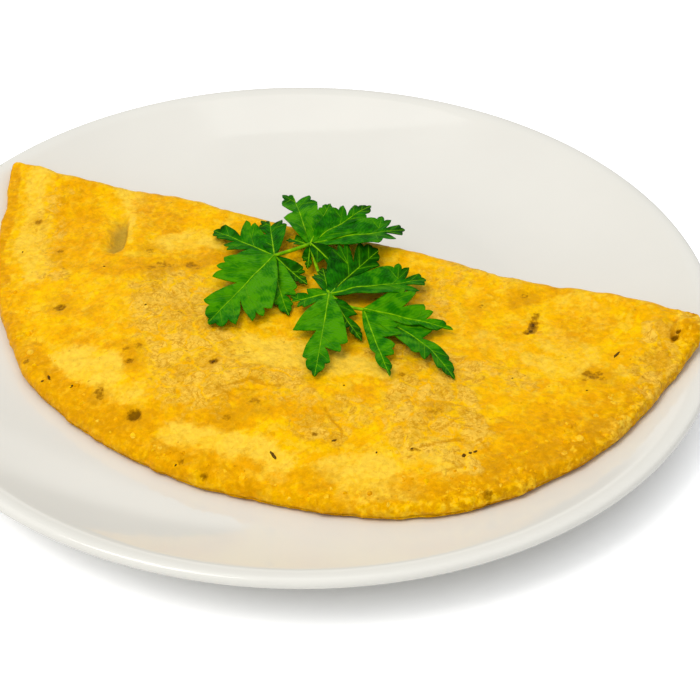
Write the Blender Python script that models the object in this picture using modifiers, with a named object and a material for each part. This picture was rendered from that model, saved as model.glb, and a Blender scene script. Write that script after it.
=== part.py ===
"""A folded omelette on its dinner plate, garnished with a sprig of flat-leaf parsley.

The origin is the middle of the plate at table level. +Z is up, +X runs to the right of
someone who sits at the omelette's open, curved edge, and +Y runs away from them.
"""

import bisect
import math

import bmesh
import bpy
from mathutils import Vector, noise

MM = 0.001
SKIN_GAP = 0.3 * MM

# Plate: a coupe dinner plate with a flat well, a hollow wall, a narrow lip and a foot ring.
PLATE_RADIUS = 135 * MM
WELL_RADIUS = 76 * MM
WELL_HEIGHT = 6.5 * MM
WALL_RADIUS = 129 * MM
WALL_RISE = 14.2 * MM
WALL_POWER = 1.75
WALL_POINTS = 10
BODY_THICKNESS = 4.2 * MM
LIP_THICKNESS = 3.2 * MM
FOOT_OUTER_RADIUS = 78 * MM
PLATE_STEPS = 48
# The lip and the foot ring in section, as (inset from the plate's rim or from the foot's outer
# wall, height above the wall's crest or above the table) in mm.
LIP_ROWS = ((3.4, 0.7), (1.4, 0.9), (0.4, 0.3), (0.0, -0.8), (0.4, -1.9), (1.8, -2.9))
LIP_UNDERCUT = 0.4 * MM
FOOT_ROWS = ((-1.0, 2.6), (0.0, 0.5), (0.8, 0.0), (6.2, 0.0), (7.0, 0.5), (8.2, 2.4))

# Omelette: a round omelette folded once. Its plan is set out from the fold's middle, with one
# axis along the fold and the other out to the open edge. EDGE_REACH gives the open edge's
# distance in mm at each angle in degrees, from the fold's right end round to its left end, and
# FOLD_LINE gives (place along the fold, how far behind that axis the fold lies) in mm.
FOLD_MIDDLE = Vector((11.9, 24.4)) * MM
FOLD_TURN = math.radians(-22.6)
ALONG = Vector((math.cos(FOLD_TURN), math.sin(FOLD_TURN)))
OUT = Vector((math.sin(FOLD_TURN), -math.cos(FOLD_TURN)))
EDGE_REACH = (
    (0, 123.5), (5, 126), (12, 125), (19, 125.3), (30, 127.3), (45, 129.3), (54, 129.3),
    (62, 126), (70, 121.7), (80, 118), (90, 116.7), (102, 115.3), (125, 115.7), (140, 115.5),
    (155, 117), (170, 120.3), (176, 124), (180, 127),
)
FOLD_LINE = (
    (-127, 0), (-105, 1.0), (-90, 2.8), (-77, 5.2), (-66, 7.0), (-52, 7.0), (-40, 6.0),
    (-20, 5.6), (0, 5.8), (20, 6.8), (38, 7.0), (50, 5.4), (58, 4.8), (70, 5.4), (82, 5.5),
    (95, 5.0), (106, 3.8), (115, 1.6), (123.5, -1.5),
)
FOLD_POINTS = 80
EDGE_STEP = 2
CORNER_PASSES = 4
BODY_HEIGHT = 14.5 * MM
EDGE_HEIGHT = 5.5 * MM
EDGE_SLOPE_LENGTH = 48 * MM
EDGE_SLOPE_POWER = 2.2
FOLD_SWELL = 3.0 * MM
FOLD_SWELL_WIDTH = 14 * MM
TIP_SLOPE_LENGTH = 16 * MM
SURFACE_WAVE = 0.8 * MM
WAVE_LENGTH = 28 * MM
CURL_LIFT = 3 * MM
CURL_SPREAD = 9 * MM
HEART = Vector((2, 42)) * MM
SPOKES = 84

# The omelette's rings from the middle of its top, over the rim, to the middle of its underside.
TOP_SHARES = (0.16, 0.32, 0.47, 0.61, 0.74, 0.87)
UNDERSIDE_SHARES = (0.82, 0.6, 0.4, 0.2)
SHOULDER_INSET = 12 * MM
SHOULDER_DROP = 0.04
CREVICE_INSET = 2.5 * MM
# Rim rows: (inset mm, level) at the open edge, where a crevice parts the two layers, and the
# same at the fold, which is a plain round roll. A level is a share of the rim's own height.
RIM_ROWS = (
    (1.5, 0.93, 2.2, 0.80),
    (0.2, 0.76, 0.4, 0.64),
    (0.0, 0.62, 0.0, 0.53),
    (1.6, 0.50, 0.0, 0.48),
    (CREVICE_INSET / MM, 0.44, 0.1, 0.44),
    (2.6, 0.36, 0.2, 0.40),
    (1.2, 0.20, 1.0, 0.24),
    (2.4, 0.00, 4.0, 0.00),
)

# Parsley: one sprig of four leaves on thin stalks. Places are in mm on the plate, and heights are
# in mm above the egg. A hub is where a leaf's leaflets meet: (x, y, height).
HUBS = {
    "left": (-10, 12, 2.6),
    "back": (2, 16, 4.2),
    "middle": (8, -11, 3.0),
    "right": (19, -18, 2.4),
}
STALKS = (("left", "back"), ("back", "middle"), ("middle", "right"))
STALK_RADIUS = 0.9 * MM
LEAF_THICKNESS = 0.9 * MM
LEAF_CLEARANCE = 2.0 * MM
LEAF_SLICE = 13 * MM
LEAF_LAYERS = 4
LEAF_STAGGER = 0.27 * MM
FOLD_CREST = 4.7 * MM
NECK_HALF_WIDTH = 0.8 * MM
TOOTH_NOTCH = 0.2
LOBE_NOTCH = 0.55
VEIN_LEAN = 0.9
LOWEST_VEIN = 0.1

# A leaflet's edge is set out by its teeth: (along, across, lobe) for each tooth's tip, on a
# leaflet of length 1. Notches are shallow within a lobe and deep between lobes.
PATTERNS = {
    "broad": (
        (0.30, -0.31, 1), (0.41, -0.31, 1), (0.53, -0.27, 1), (0.80, -0.17, 2), (0.91, -0.08, 2),
        (1.00, 0.02, 2), (0.98, 0.14, 2), (0.92, 0.23, 2), (0.82, 0.32, 3), (0.73, 0.37, 3),
        (0.62, 0.38, 3),
    ),
    "hand": (
        (0.62, -0.36, 1), (0.75, -0.34, 1), (0.93, -0.15, 2), (1.00, 0.00, 2), (0.93, 0.10, 2),
        (0.83, 0.14, 2), (0.65, 0.21, 3), (0.53, 0.29, 3), (0.33, 0.36, 4),
    ),
    "spear": (
        (0.49, -0.25, 1), (0.78, -0.13, 2), (0.90, -0.08, 2), (1.00, 0.00, 2), (0.92, 0.06, 2),
        (0.84, 0.11, 2), (0.73, 0.18, 3), (0.61, 0.23, 3),
    ),
    "fan": (
        (0.74, -0.25, 1), (0.92, -0.19, 1), (1.00, 0.01, 2), (1.01, 0.13, 2), (0.80, 0.18, 2),
        (0.55, 0.21, 3),
    ),
    "wing": (
        (0.66, -0.25, 1), (0.85, -0.22, 1), (0.94, -0.12, 2), (1.00, 0.00, 2), (0.96, 0.10, 2),
        (0.90, 0.20, 3), (0.82, 0.28, 3), (0.69, 0.27, 3),
    ),
    "sail": (
        (0.50, -0.11, 1), (0.84, -0.08, 1), (1.00, 0.00, 2), (0.86, 0.09, 2), (0.73, 0.17, 3),
        (0.60, 0.24, 3), (0.48, 0.38, 4), (0.34, 0.40, 4),
    ),
}
# (hub, tip x, tip y, tip height, pattern, side, width, bend): side -1 mirrors a pattern, and
# bend is how many mm its midrib bows to the left of the straight line to its tip.
LEAFLETS = (
    ("left", -31, 29, 1.0, "hand", 1, 1.0, 0),
    ("left", -12, 32, 1.6, "fan", 1, 1.1, 0),
    ("left", -31, -23, 0.3, "broad", 1, 0.95, 0),
    ("left", -5, -18, 0.3, "spear", 1, 0.8, -1),
    ("left", 1, -2, 1.2, "spear", 1, 0.9, 0),
    ("back", -4, 45, 3.6, "fan", 1, 0.95, 0),
    ("back", 9, 38, 4.8, "spear", -1, 0.9, 0),
    ("back", -5, 22, 2.8, "fan", 1, 1.5, 0),
    ("back", 23, 36, 5.4, "spear", 1, 1.1, 0),
    ("back", 34, 22, 4.6, "wing", 1, 1.0, 0),
    ("back", 13, 2, 3.0, "spear", 1, 0.9, 0),
    ("back", 1, 6, 2.2, "spear", -1, 1.0, 0),
    ("middle", 6, 5, 3.0, "spear", 1, 1.2, 0),
    ("middle", -4, -13, 1.6, "fan", -1, 1.6, 0),
    ("middle", 3, -50, 0.3, "spear", 1, 0.95, 0),
    ("middle", 18, -31, 0.8, "spear", -1, 0.8, 0),
    ("middle", 25, 13, 2.6, "broad", 1, 0.95, 1),
    ("middle", 40, -1, 2.0, "wing", 1, 1.0, 1),
    ("right", 47, -27, 0.8, "sail", 1, 1.0, 1),
    ("right", 46, -50, 0.3, "spear", -1, 0.7, 4),
    ("right", 26, -50, 0.6, "sail", 1, 0.65, 0),
)


def clear_scene():
    for thing in list(bpy.data.objects):
        bpy.data.objects.remove(thing, do_unlink=True)


def make_collection(name):
    collection = bpy.data.collections.new(name)
    bpy.context.scene.collection.children.link(collection)
    return collection


def make_material(name, colour, roughness):
    material = bpy.data.materials.new(name)
    material.use_nodes = True
    shader = material.node_tree.nodes["Principled BSDF"]
    shader.inputs["Base Color"].default_value = (*colour, 1)
    shader.inputs["Roughness"].default_value = roughness
    shader.inputs["Metallic"].default_value = 0
    material.diffuse_color = (*colour, 1)
    return material


def object_from(name, shape, material, collection):
    """Turns a bmesh into a named object with its material, shaded smooth."""
    mesh = bpy.data.meshes.new(name)
    shape.to_mesh(mesh)
    shape.free()
    mesh.materials.append(material)
    mesh.shade_smooth()
    thing = bpy.data.objects.new(name, mesh)
    collection.objects.link(thing)
    return thing


def smooth_step(value, low, high):
    share = min(max((value - low) / (high - low), 0.0), 1.0)
    return share * share * (3 - 2 * share)


def smooth_table(table, x):
    """A cubic curve through the table's points, each with the slope between its neighbours."""
    places = [row[0] for row in table]
    values = [row[1] for row in table]
    last = len(table) - 1
    i = min(max(bisect.bisect_right(places, x) - 1, 0), last - 1)

    def slope(k):
        low, high = max(k - 1, 0), min(k + 1, last)
        return (values[high] - values[low]) / (places[high] - places[low])

    span = places[i + 1] - places[i]
    u = min(max((x - places[i]) / span, 0.0), 1.0)
    return (
        values[i] * (2 * u**3 - 3 * u**2 + 1)
        + values[i + 1] * (3 * u**2 - 2 * u**3)
        + slope(i) * span * (u**3 - 2 * u**2 + u)
        + slope(i + 1) * span * (u**3 - u**2)
    )


# ---------------------------------------------------------------- plate


def plate_top(radius):
    """Height of the plate's upper face, from the well out to the top of the wall."""
    share = (radius - WELL_RADIUS) / (WALL_RADIUS - WELL_RADIUS)
    return WELL_HEIGHT + WALL_RISE * min(max(share, 0.0), 1.0) ** WALL_POWER


def plate_profile():
    """Half section of the plate: along its upper face, round the lip and back underneath."""
    wall = [
        WELL_RADIUS + (WALL_RADIUS - WELL_RADIUS) * step / WALL_POINTS
        for step in range(WALL_POINTS + 1)
    ]
    crest = plate_top(WALL_RADIUS)
    points = [(0.0, WELL_HEIGHT), (WELL_RADIUS / 2, WELL_HEIGHT)]
    points += [(radius, plate_top(radius)) for radius in wall]
    points += [(PLATE_RADIUS - inset * MM, crest + rise * MM) for inset, rise in LIP_ROWS]
    for radius in reversed(wall[2:]):
        share = (radius - WELL_RADIUS) / (WALL_RADIUS - WELL_RADIUS)
        thickness = BODY_THICKNESS + (LIP_THICKNESS - BODY_THICKNESS) * share
        points.append((radius, plate_top(radius) - thickness - LIP_UNDERCUT * share))
    points += [(FOOT_OUTER_RADIUS - inset * MM, height * MM) for inset, height in FOOT_ROWS]
    return points + [(0.0, WELL_HEIGHT - BODY_THICKNESS)]


def build_plate(collection):
    shape = bmesh.new()
    corners = [shape.verts.new((radius, 0, height)) for radius, height in plate_profile()]
    for first, second in zip(corners, corners[1:]):
        shape.edges.new((first, second))
    glaze = make_material("glazed_porcelain", (0.80, 0.78, 0.73), 0.12)
    plate = object_from("plate", shape, glaze, collection)
    turn = plate.modifiers.new("turn", "SCREW")
    turn.steps = PLATE_STEPS
    turn.render_steps = PLATE_STEPS
    turn.use_merge_vertices = True
    turn.merge_threshold = 0.01 * MM
    return plate


# ---------------------------------------------------------------- omelette


def fold_bow(along):
    """How far behind the fold's axis the fold itself lies."""
    return smooth_table(FOLD_LINE, along / MM) * MM


def edge_reach(point):
    """Distance from the fold's middle to the open edge, in the direction of a plan point."""
    angle = math.degrees(math.atan2(max(point.y, 0.0), point.x))
    return smooth_table(EDGE_REACH, angle) * MM


def evenly_spaced(points, count):
    """A closed line's points again, at equal steps along it."""
    closed = points + points[:1]
    lengths = [0.0]
    for first, second in zip(closed, closed[1:]):
        lengths.append(lengths[-1] + (second - first).length)
    even = []
    for step in range(count):
        wanted = lengths[-1] * step / count
        i = min(bisect.bisect_right(lengths, wanted) - 1, len(points) - 1)
        share = (wanted - lengths[i]) / (lengths[i + 1] - lengths[i])
        even.append(closed[i].lerp(closed[i + 1], share))
    return even


def omelette_outline():
    """The plan: round the open edge from the right tip to the left, then back along the fold."""
    points = []
    for degrees in range(0, 181, EDGE_STEP):
        angle = math.radians(degrees)
        direction = Vector((math.cos(angle), math.sin(angle)))
        points.append(direction * edge_reach(direction))
    left, right = points[-1].x, points[0].x
    for step in range(1, FOLD_POINTS):
        along = left + (right - left) * step / FOLD_POINTS
        points.append(Vector((along, -fold_bow(along))))
    points = evenly_spaced(points, 4 * SPOKES)
    for _ in range(CORNER_PASSES):
        points = [
            (points[i - 1] + points[i] * 2 + points[(i + 1) % len(points)]) / 4
            for i in range(len(points))
        ]
    return evenly_spaced(points, SPOKES)


def to_plate(point):
    """From the fold's plan axes to the plate's."""
    return FOLD_MIDDLE + ALONG * point.x + OUT * point.y


def curl(point):
    """How far the right tip, which dries and turns up, stands off the plate."""
    tip = Vector((EDGE_REACH[0][1] * MM, 0))
    return CURL_LIFT * math.exp(-((point - tip).length_squared) / (2 * CURL_SPREAD**2))


def underside(point):
    return plate_top(to_plate(point).length) + SKIN_GAP + curl(point)


def thickness(point):
    """Both layers together: thin at the open edge and the tips, thickest along the fold."""
    from_edge = edge_reach(point) - point.length
    rise = 1 - (1 - min(max(from_edge / EDGE_SLOPE_LENGTH, 0.0), 1.0)) ** EDGE_SLOPE_POWER
    from_fold = point.y + fold_bow(point.x)
    swell = FOLD_SWELL * math.exp(-((from_fold / FOLD_SWELL_WIDTH) ** 2))
    swell *= smooth_step(from_edge, 0, TIP_SLOPE_LENGTH)
    wave = SURFACE_WAVE * rise * noise.noise(Vector((point.x, point.y, 0)) / WAVE_LENGTH)
    return EDGE_HEIGHT + (BODY_HEIGHT - EDGE_HEIGHT) * rise + swell + wave


def omelette_sections(rim_point):
    """One spoke of the omelette, from near the middle of its top to near that of its underside."""
    reach = (rim_point - HEART).length

    def towards_rim(distance):
        return HEART + (rim_point - HEART) * (distance / reach)

    def at(point, height):
        place = to_plate(point)
        return Vector((place.x, place.y, height))

    spoke = []
    for share in TOP_SHARES + (1.0,):
        point = towards_rim((reach - SHOULDER_INSET) * share)
        spoke.append(at(point, underside(point) + thickness(point)))
    fold_share = 1 - smooth_step(rim_point.y, 0, SHOULDER_INSET)
    point = towards_rim(reach - SHOULDER_INSET / 2)
    spoke.append(at(point, underside(point) + thickness(point) * (1 - SHOULDER_DROP * fold_share)))
    rim_height = thickness(rim_point)
    for edge_inset, edge_level, fold_inset, fold_level in RIM_ROWS:
        inset = (edge_inset + (fold_inset - edge_inset) * fold_share) * MM
        level = edge_level + (fold_level - edge_level) * fold_share
        point = towards_rim(reach - inset)
        spoke.append(at(point, underside(point) + rim_height * level))
    for share in (1.0,) + UNDERSIDE_SHARES:
        point = towards_rim((reach - SHOULDER_INSET) * share)
        spoke.append(at(point, underside(point)))
    return spoke


def build_omelette(collection):
    """A globe's grid, its meridians laid out as the omelette's spokes."""
    spokes = [omelette_sections(point) for point in omelette_outline()]
    bands = len(spokes[0]) + 1
    shape = bmesh.new()
    bmesh.ops.create_uvsphere(shape, u_segments=SPOKES, v_segments=bands, radius=1)
    middle = to_plate(HEART)
    for vert in shape.verts:
        band = round(math.acos(max(-1.0, min(1.0, vert.co.z))) / math.pi * bands)
        if band == 0:
            vert.co = (middle.x, middle.y, underside(HEART) + thickness(HEART))
        elif band == bands:
            vert.co = (middle.x, middle.y, underside(HEART))
        else:
            turn = math.atan2(vert.co.y, vert.co.x) / math.tau
            vert.co = spokes[-round(turn * SPOKES) % SPOKES][band - 1]
    egg = make_material("cooked_egg", (0.86, 0.52, 0.06), 0.5)
    return object_from("omelette", shape, egg, collection)


# ---------------------------------------------------------------- parsley


def rest_height(place):
    """Height of the egg's top under a plan point. Past the fold it stays level with the fold."""
    offset = place - FOLD_MIDDLE
    point = Vector((offset.dot(ALONG), max(offset.dot(OUT), FOLD_CREST)))
    return underside(point) + thickness(point)


def leaflet_edge(pattern, side, length, width):
    """The leaflet's outline, from one side of its neck over every tooth to the other side."""
    teeth = [
        (Vector((along, across * side * width)) * length, lobe)
        for along, across, lobe in PATTERNS[pattern][::side]
    ]

    def vein_root(tip):
        return Vector((max(tip.x - VEIN_LEAN * abs(tip.y), LOWEST_VEIN * length), 0))

    edge = [Vector((0, -NECK_HALF_WIDTH))]
    for (tip, lobe), (next_tip, next_lobe) in zip(teeth, teeth[1:]):
        depth = TOOTH_NOTCH if lobe == next_lobe else LOBE_NOTCH
        gap = (tip + next_tip) / 2
        root = (vein_root(tip) + vein_root(next_tip)) / 2
        edge += [tip, gap.lerp(root, depth)]
    return edge + [teeth[-1][0], Vector((0, NECK_HALF_WIDTH))]


def mesh_from_curve(curve):
    """A curve's solid as a bmesh, with its caps welded on."""
    holder = bpy.data.objects.new(curve.name, curve)
    bpy.context.scene.collection.objects.link(holder)
    graph = bpy.context.evaluated_depsgraph_get()
    mesh = bpy.data.meshes.new_from_object(holder.evaluated_get(graph))
    bpy.data.objects.remove(holder)
    shape = bmesh.new()
    shape.from_mesh(mesh)
    bmesh.ops.remove_doubles(shape, verts=shape.verts, dist=0.001 * MM)
    return shape


def build_leaflet(index, row, material, collection):
    hub, tip_x, tip_y, tip_height, pattern, side, width, bend = row
    hub_x, hub_y, hub_height = HUBS[hub]
    base = Vector((hub_x, hub_y)) * MM
    along = Vector((tip_x, tip_y)) * MM - base
    length = along.length
    along.normalize()
    across = Vector((-along.y, along.x))
    stagger = LEAF_STAGGER * (index % LEAF_LAYERS - (LEAF_LAYERS - 1) / 2)

    curve = bpy.data.curves.new(f"leaflet_{index:02d}", "CURVE")
    curve.dimensions = "2D"
    curve.fill_mode = "BOTH"
    curve.extrude = LEAF_THICKNESS / 2
    edge = leaflet_edge(pattern, side, length, width)
    spline = curve.splines.new("POLY")
    spline.points.add(len(edge) - 1)
    for spot, point in zip(spline.points, edge):
        spot.co = (point.x, point.y, 0, 1)
    spline.use_cyclic_u = True

    shape = mesh_from_curve(curve)
    bmesh.ops.triangulate(shape, faces=shape.faces)
    for slice_number in range(1, math.ceil(length / LEAF_SLICE)):
        everything = shape.verts[:] + shape.edges[:] + shape.faces[:]
        plane = (slice_number * LEAF_SLICE, 0, 0)
        bmesh.ops.bisect_plane(shape, geom=everything, plane_co=plane, plane_no=(1, 0, 0))
    for vert in shape.verts:
        share = min(max(vert.co.x / length, 0.0), 1.0)
        bow = bend * MM * math.sin(math.pi * share)
        place = base + along * vert.co.x + across * (vert.co.y + bow)
        lift = (hub_height + (tip_height - hub_height) * share) * MM + stagger
        height = rest_height(place) + LEAF_CLEARANCE + LEAF_THICKNESS / 2 + lift
        vert.co = (place.x, place.y, height + vert.co.z)
    return object_from(curve.name, shape, material, collection)


def build_parsley(collection):
    """The stalks, with every leaflet joined on by one Boolean."""
    green = make_material("parsley_leaf", (0.07, 0.25, 0.02), 0.45)
    leaflets = make_collection("leaflets")
    leaflets.hide_render = True
    for index, row in enumerate(LEAFLETS, 1):
        leaflet = build_leaflet(index, row, green, leaflets)
        leaflet.hide_render = True
        leaflet.display_type = "WIRE"

    stalks = bpy.data.curves.new("parsley", "CURVE")
    stalks.dimensions = "3D"
    stalks.bevel_depth = STALK_RADIUS
    stalks.bevel_resolution = 2
    stalks.use_fill_caps = True
    spline = stalks.splines.new("POLY")
    route = [STALKS[0][0]] + [end for _, end in STALKS]
    spline.points.add(len(route) - 1)
    for spot, hub in zip(spline.points, route):
        x, y, height = HUBS[hub]
        place = Vector((x, y)) * MM
        level = rest_height(place) + LEAF_CLEARANCE + LEAF_THICKNESS / 2 + height * MM
        spot.co = (place.x, place.y, level, 1)
    sprig = object_from("parsley", mesh_from_curve(stalks), green, collection)
    join = sprig.modifiers.new("join_leaflets", "BOOLEAN")
    join.operation = "UNION"
    join.operand_type = "COLLECTION"
    join.collection = leaflets
    join.solver = "EXACT"
    return sprig


def build_all():
    clear_scene()
    dish = make_collection("folded_omelette")
    build_plate(dish)
    build_omelette(dish)
    build_parsley(dish)


build_all()
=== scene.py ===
"""A folded omelette with browned patches on a glazed coupe plate, under a sprig of parsley.

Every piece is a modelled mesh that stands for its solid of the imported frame. Sizes are in metres,
or in millimetres where a table says so.
"""

import bisect
import math
import random

import bmesh
import bpy
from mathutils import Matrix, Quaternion, Vector, noise
from mathutils.bvhtree import BVHTree


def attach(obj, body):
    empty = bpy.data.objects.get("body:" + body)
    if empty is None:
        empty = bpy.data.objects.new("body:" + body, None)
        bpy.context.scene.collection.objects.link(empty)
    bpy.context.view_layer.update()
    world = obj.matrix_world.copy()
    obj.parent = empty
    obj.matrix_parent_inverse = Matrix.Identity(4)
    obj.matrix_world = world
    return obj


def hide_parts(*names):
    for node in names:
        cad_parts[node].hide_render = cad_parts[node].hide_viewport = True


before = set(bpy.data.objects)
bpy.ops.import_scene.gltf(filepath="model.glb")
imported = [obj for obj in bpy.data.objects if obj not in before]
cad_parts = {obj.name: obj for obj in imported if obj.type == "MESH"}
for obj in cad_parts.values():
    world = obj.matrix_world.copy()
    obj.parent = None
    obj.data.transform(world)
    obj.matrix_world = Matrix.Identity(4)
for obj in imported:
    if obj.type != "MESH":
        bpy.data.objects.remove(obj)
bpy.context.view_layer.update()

MM = 0.001
scene = bpy.context.scene
scene.view_settings.view_transform = "Standard"

# ---------------------------------------------------------------- table and light
# The dish stands on a plain white table with a painted glow all round it, seen by the camera only,
# which narrows the dish's shadow. A large soft light hangs to its left, a weaker panel hangs over
# it, and a low strip behind it shows in the glaze's front.

TABLE_SIDE = 4.0
TABLE_WHITE = (0.93, 0.93, 0.93)
PAINTED_TABLE_GLOW = (0.5, 0.5, 0.5)
GLOW_MIDDLE = Vector((9.5, 0.5, 0)) * MM
GLOW_START = 114 * MM
GLOW_END = 140 * MM
SKY_AXIS = Vector((-0.10, -0.33, 0.94))
SKY_TOP = (0.95, 0.97, 1.0)
SKY_SIDE = (0.16, 0.16, 0.16)
# How far a direction leans to the sky's axis, from its side to its top.
SKY_RANGE = (0.0, 0.7)
SKY_STRENGTH = 0.90
STRIP_GLOW = (1.1, 1.09, 1.05)
# The strip's rims as a direction's height and its share towards the back.
STRIP_BOTTOM = (0.13, 0.24)
STRIP_TOP = (0.42, 0.30)
STRIP_SIDES = (0.6, 0.8)
KEY_PLACE = Vector((-0.52, -0.35, 1.20))
KEY_SIZE = (0.6, 0.6)
KEY_POWER = 7.0
KEY_COLOUR = (1.0, 0.97, 0.92)
PANEL_PLACE = Vector((-0.10, 0.33, 1.30))
PANEL_SIZE = (0.55, 0.42)
PANEL_POWER = 0.8
PANEL_COLOUR = (1.0, 0.99, 0.97)
# Where a Mix node keeps its share and its two colours, and their blend.
MIX_COLOUR_INPUTS = (0, 6, 7)
MIX_COLOUR_OUTPUT = 2


def give(tree, socket, value):
    """Links another node's output to an input, or sets the input to a plain value or colour."""
    if isinstance(value, bpy.types.NodeSocket):
        tree.links.new(value, socket)
    elif isinstance(value, tuple) and len(value) == 3 and socket.type == "RGBA":
        socket.default_value = (*value, 1)
    else:
        socket.default_value = value


def add_node(tree, kind, **values):
    """A shader node. Values named after its inputs go there, and the others on the node itself."""
    made = tree.nodes.new(kind)
    for name, value in values.items():
        socket = made.inputs.get(name.replace("_", " "))
        if socket is None:
            setattr(made, name, value)
        else:
            give(tree, socket, value)
    return made


def colour_ramp(tree, value, *stops):
    """A colour that follows a value through (position, colour) stops."""
    ramp = add_node(tree, "ShaderNodeValToRGB", Fac=value)
    marks = ramp.color_ramp.elements
    while len(marks) < len(stops):
        marks.new(1.0)
    for mark, (position, colour) in zip(marks, stops):
        mark.position = position
        mark.color = (*colour, 1)
    return ramp.outputs["Color"]


def between(tree, value, low, high, to_low=0.0, to_high=1.0):
    """A value eased from one level to another as its source goes from low to high."""
    made = add_node(
        tree, "ShaderNodeMapRange", interpolation_type="SMOOTHSTEP", Value=value,
        From_Min=low, From_Max=high, To_Min=to_low, To_Max=to_high,
    )
    return made.outputs["Result"]


def blend_colours(tree, share, first, second):
    """The second colour laid over the first, by its share."""
    made = add_node(tree, "ShaderNodeMix", data_type="RGBA")
    for index, value in zip(MIX_COLOUR_INPUTS, (share, first, second)):
        give(tree, made.inputs[index], value)
    return made.outputs[MIX_COLOUR_OUTPUT]


def calculate(tree, operation, first, second=0.0):
    """One step of arithmetic on two values."""
    made = add_node(tree, "ShaderNodeMath", operation=operation)
    give(tree, made.inputs[0], first)
    give(tree, made.inputs[1], second)
    return made.outputs[0]


def new_material(name, roughness, specular, sheen=(1.0, 1.0, 1.0)):
    """A material with its node tree, its Principled shader and the node output that holds the
    place on the piece. The sheen tints its gloss."""
    material = bpy.data.materials.new(name)
    material.use_nodes = True
    shader = material.node_tree.nodes["Principled BSDF"]
    shader.inputs["Roughness"].default_value = roughness
    shader.inputs["Specular IOR Level"].default_value = specular
    shader.inputs["Specular Tint"].default_value = (*sheen, 1)
    place = add_node(material.node_tree, "ShaderNodeTexCoord").outputs["Object"]
    return material, material.node_tree, shader, place


def object_from(name, shape, material):
    """Turns a bmesh into an object at the origin, shaded smooth."""
    mesh = bpy.data.meshes.new(name)
    shape.to_mesh(mesh)
    shape.free()
    mesh.materials.append(material)
    mesh.shade_smooth()
    made = bpy.data.objects.new(name, mesh)
    scene.collection.objects.link(made)
    return made


def add_light(name, place, size, power, colour):
    """A rectangular soft light that faces the dish."""
    lamp = bpy.data.lights.new(name, "AREA")
    lamp.shape = "RECTANGLE"
    lamp.size, lamp.size_y = size
    lamp.energy = power
    lamp.color = colour
    holder = bpy.data.objects.new(name, lamp)
    holder.location = place
    holder.rotation_mode = "QUATERNION"
    holder.rotation_quaternion = (-place).to_track_quat("-Z", "Y")
    scene.collection.objects.link(holder)


board, tree, shader, place = new_material("white_table", 0.9, 0.1)
shader.inputs["Base Color"].default_value = (*TABLE_WHITE, 1)
away = add_node(tree, "ShaderNodeVectorMath", operation="DISTANCE")
give(tree, away.inputs[0], place)
give(tree, away.inputs[1], GLOW_MIDDLE)
painted_glow_share = between(tree, away.outputs["Value"], GLOW_START, GLOW_END)
give(tree, shader.inputs["Emission Color"],
     blend_colours(tree, painted_glow_share, (0.0, 0.0, 0.0), PAINTED_TABLE_GLOW))
# The painted glow brightens the table from GLOW_START out to GLOW_END, where the dish's shadow
# ends.
# It is seen, but it doesn't light the dish.
give(tree, shader.inputs["Emission Strength"],
     add_node(tree, "ShaderNodeLightPath").outputs["Is Camera Ray"])
shape = bmesh.new()
bmesh.ops.create_grid(shape, x_segments=8, y_segments=8, size=TABLE_SIDE / 2)
table = object_from("table", shape, board)

room = bpy.data.worlds.new("room")
room.use_nodes = True
scene.world = room
tree = room.node_tree
direction = add_node(tree, "ShaderNodeTexCoord").outputs["Generated"]
facing = add_node(tree, "ShaderNodeVectorMath", operation="DOT_PRODUCT")
give(tree, facing.inputs[0], direction)
give(tree, facing.inputs[1], SKY_AXIS)
sky_stops = zip(SKY_RANGE, (SKY_SIDE, SKY_TOP))
sky = colour_ramp(tree, facing.outputs["Value"], *sky_stops)
heading = add_node(tree, "ShaderNodeSeparateXYZ", Vector=direction).outputs
strip = between(tree, heading["Z"], *STRIP_BOTTOM)
strip = calculate(tree, "MULTIPLY", strip, between(tree, heading["Z"], *STRIP_TOP))
strip = calculate(tree, "MULTIPLY", strip, between(tree, heading["Y"], *STRIP_SIDES))
give(tree, tree.nodes["Background"].inputs["Color"],
     blend_colours(tree, strip, sky, STRIP_GLOW))
tree.nodes["Background"].inputs["Strength"].default_value = SKY_STRENGTH

add_light("key_light", KEY_PLACE, KEY_SIZE, KEY_POWER, KEY_COLOUR)
add_light("overhead_panel", PANEL_PLACE, PANEL_SIZE, PANEL_POWER, PANEL_COLOUR)

# ---------------------------------------------------------------- camera
# It looks down at the dish from the omelette's open side, a little turned about its own axis.

CAMERA_AIM = Vector((0.0152, -0.0069, 0.0))
CAMERA_DISTANCE = 0.5511
CAMERA_AZIMUTH = math.radians(2.005)
CAMERA_ELEVATION = math.radians(37.88)
CAMERA_ROLL = math.radians(1.16)
CAMERA_ANGLE = math.radians(24)

lens = bpy.data.cameras.new("camera")
lens.angle = CAMERA_ANGLE
lens.clip_start = 0.01
camera = bpy.data.objects.new("camera", lens)
forward = Vector((
    math.cos(CAMERA_ELEVATION) * math.sin(CAMERA_AZIMUTH),
    math.cos(CAMERA_ELEVATION) * math.cos(CAMERA_AZIMUTH),
    -math.sin(CAMERA_ELEVATION),
))
camera.location = CAMERA_AIM - forward * CAMERA_DISTANCE
camera.rotation_mode = "QUATERNION"
level = forward.to_track_quat("-Z", "Y")
camera.rotation_quaternion = level @ Quaternion((0, 0, 1), CAMERA_ROLL)
scene.collection.objects.link(camera)
scene.camera = camera

# ---------------------------------------------------------------- plate
# A coupe dinner plate of white porcelain, pressed in one piece and dipped in a warm clear glaze: a
# flat well, a hollow wall that rises to a thin rounded lip, and a foot ring wiped free of glaze.

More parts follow.
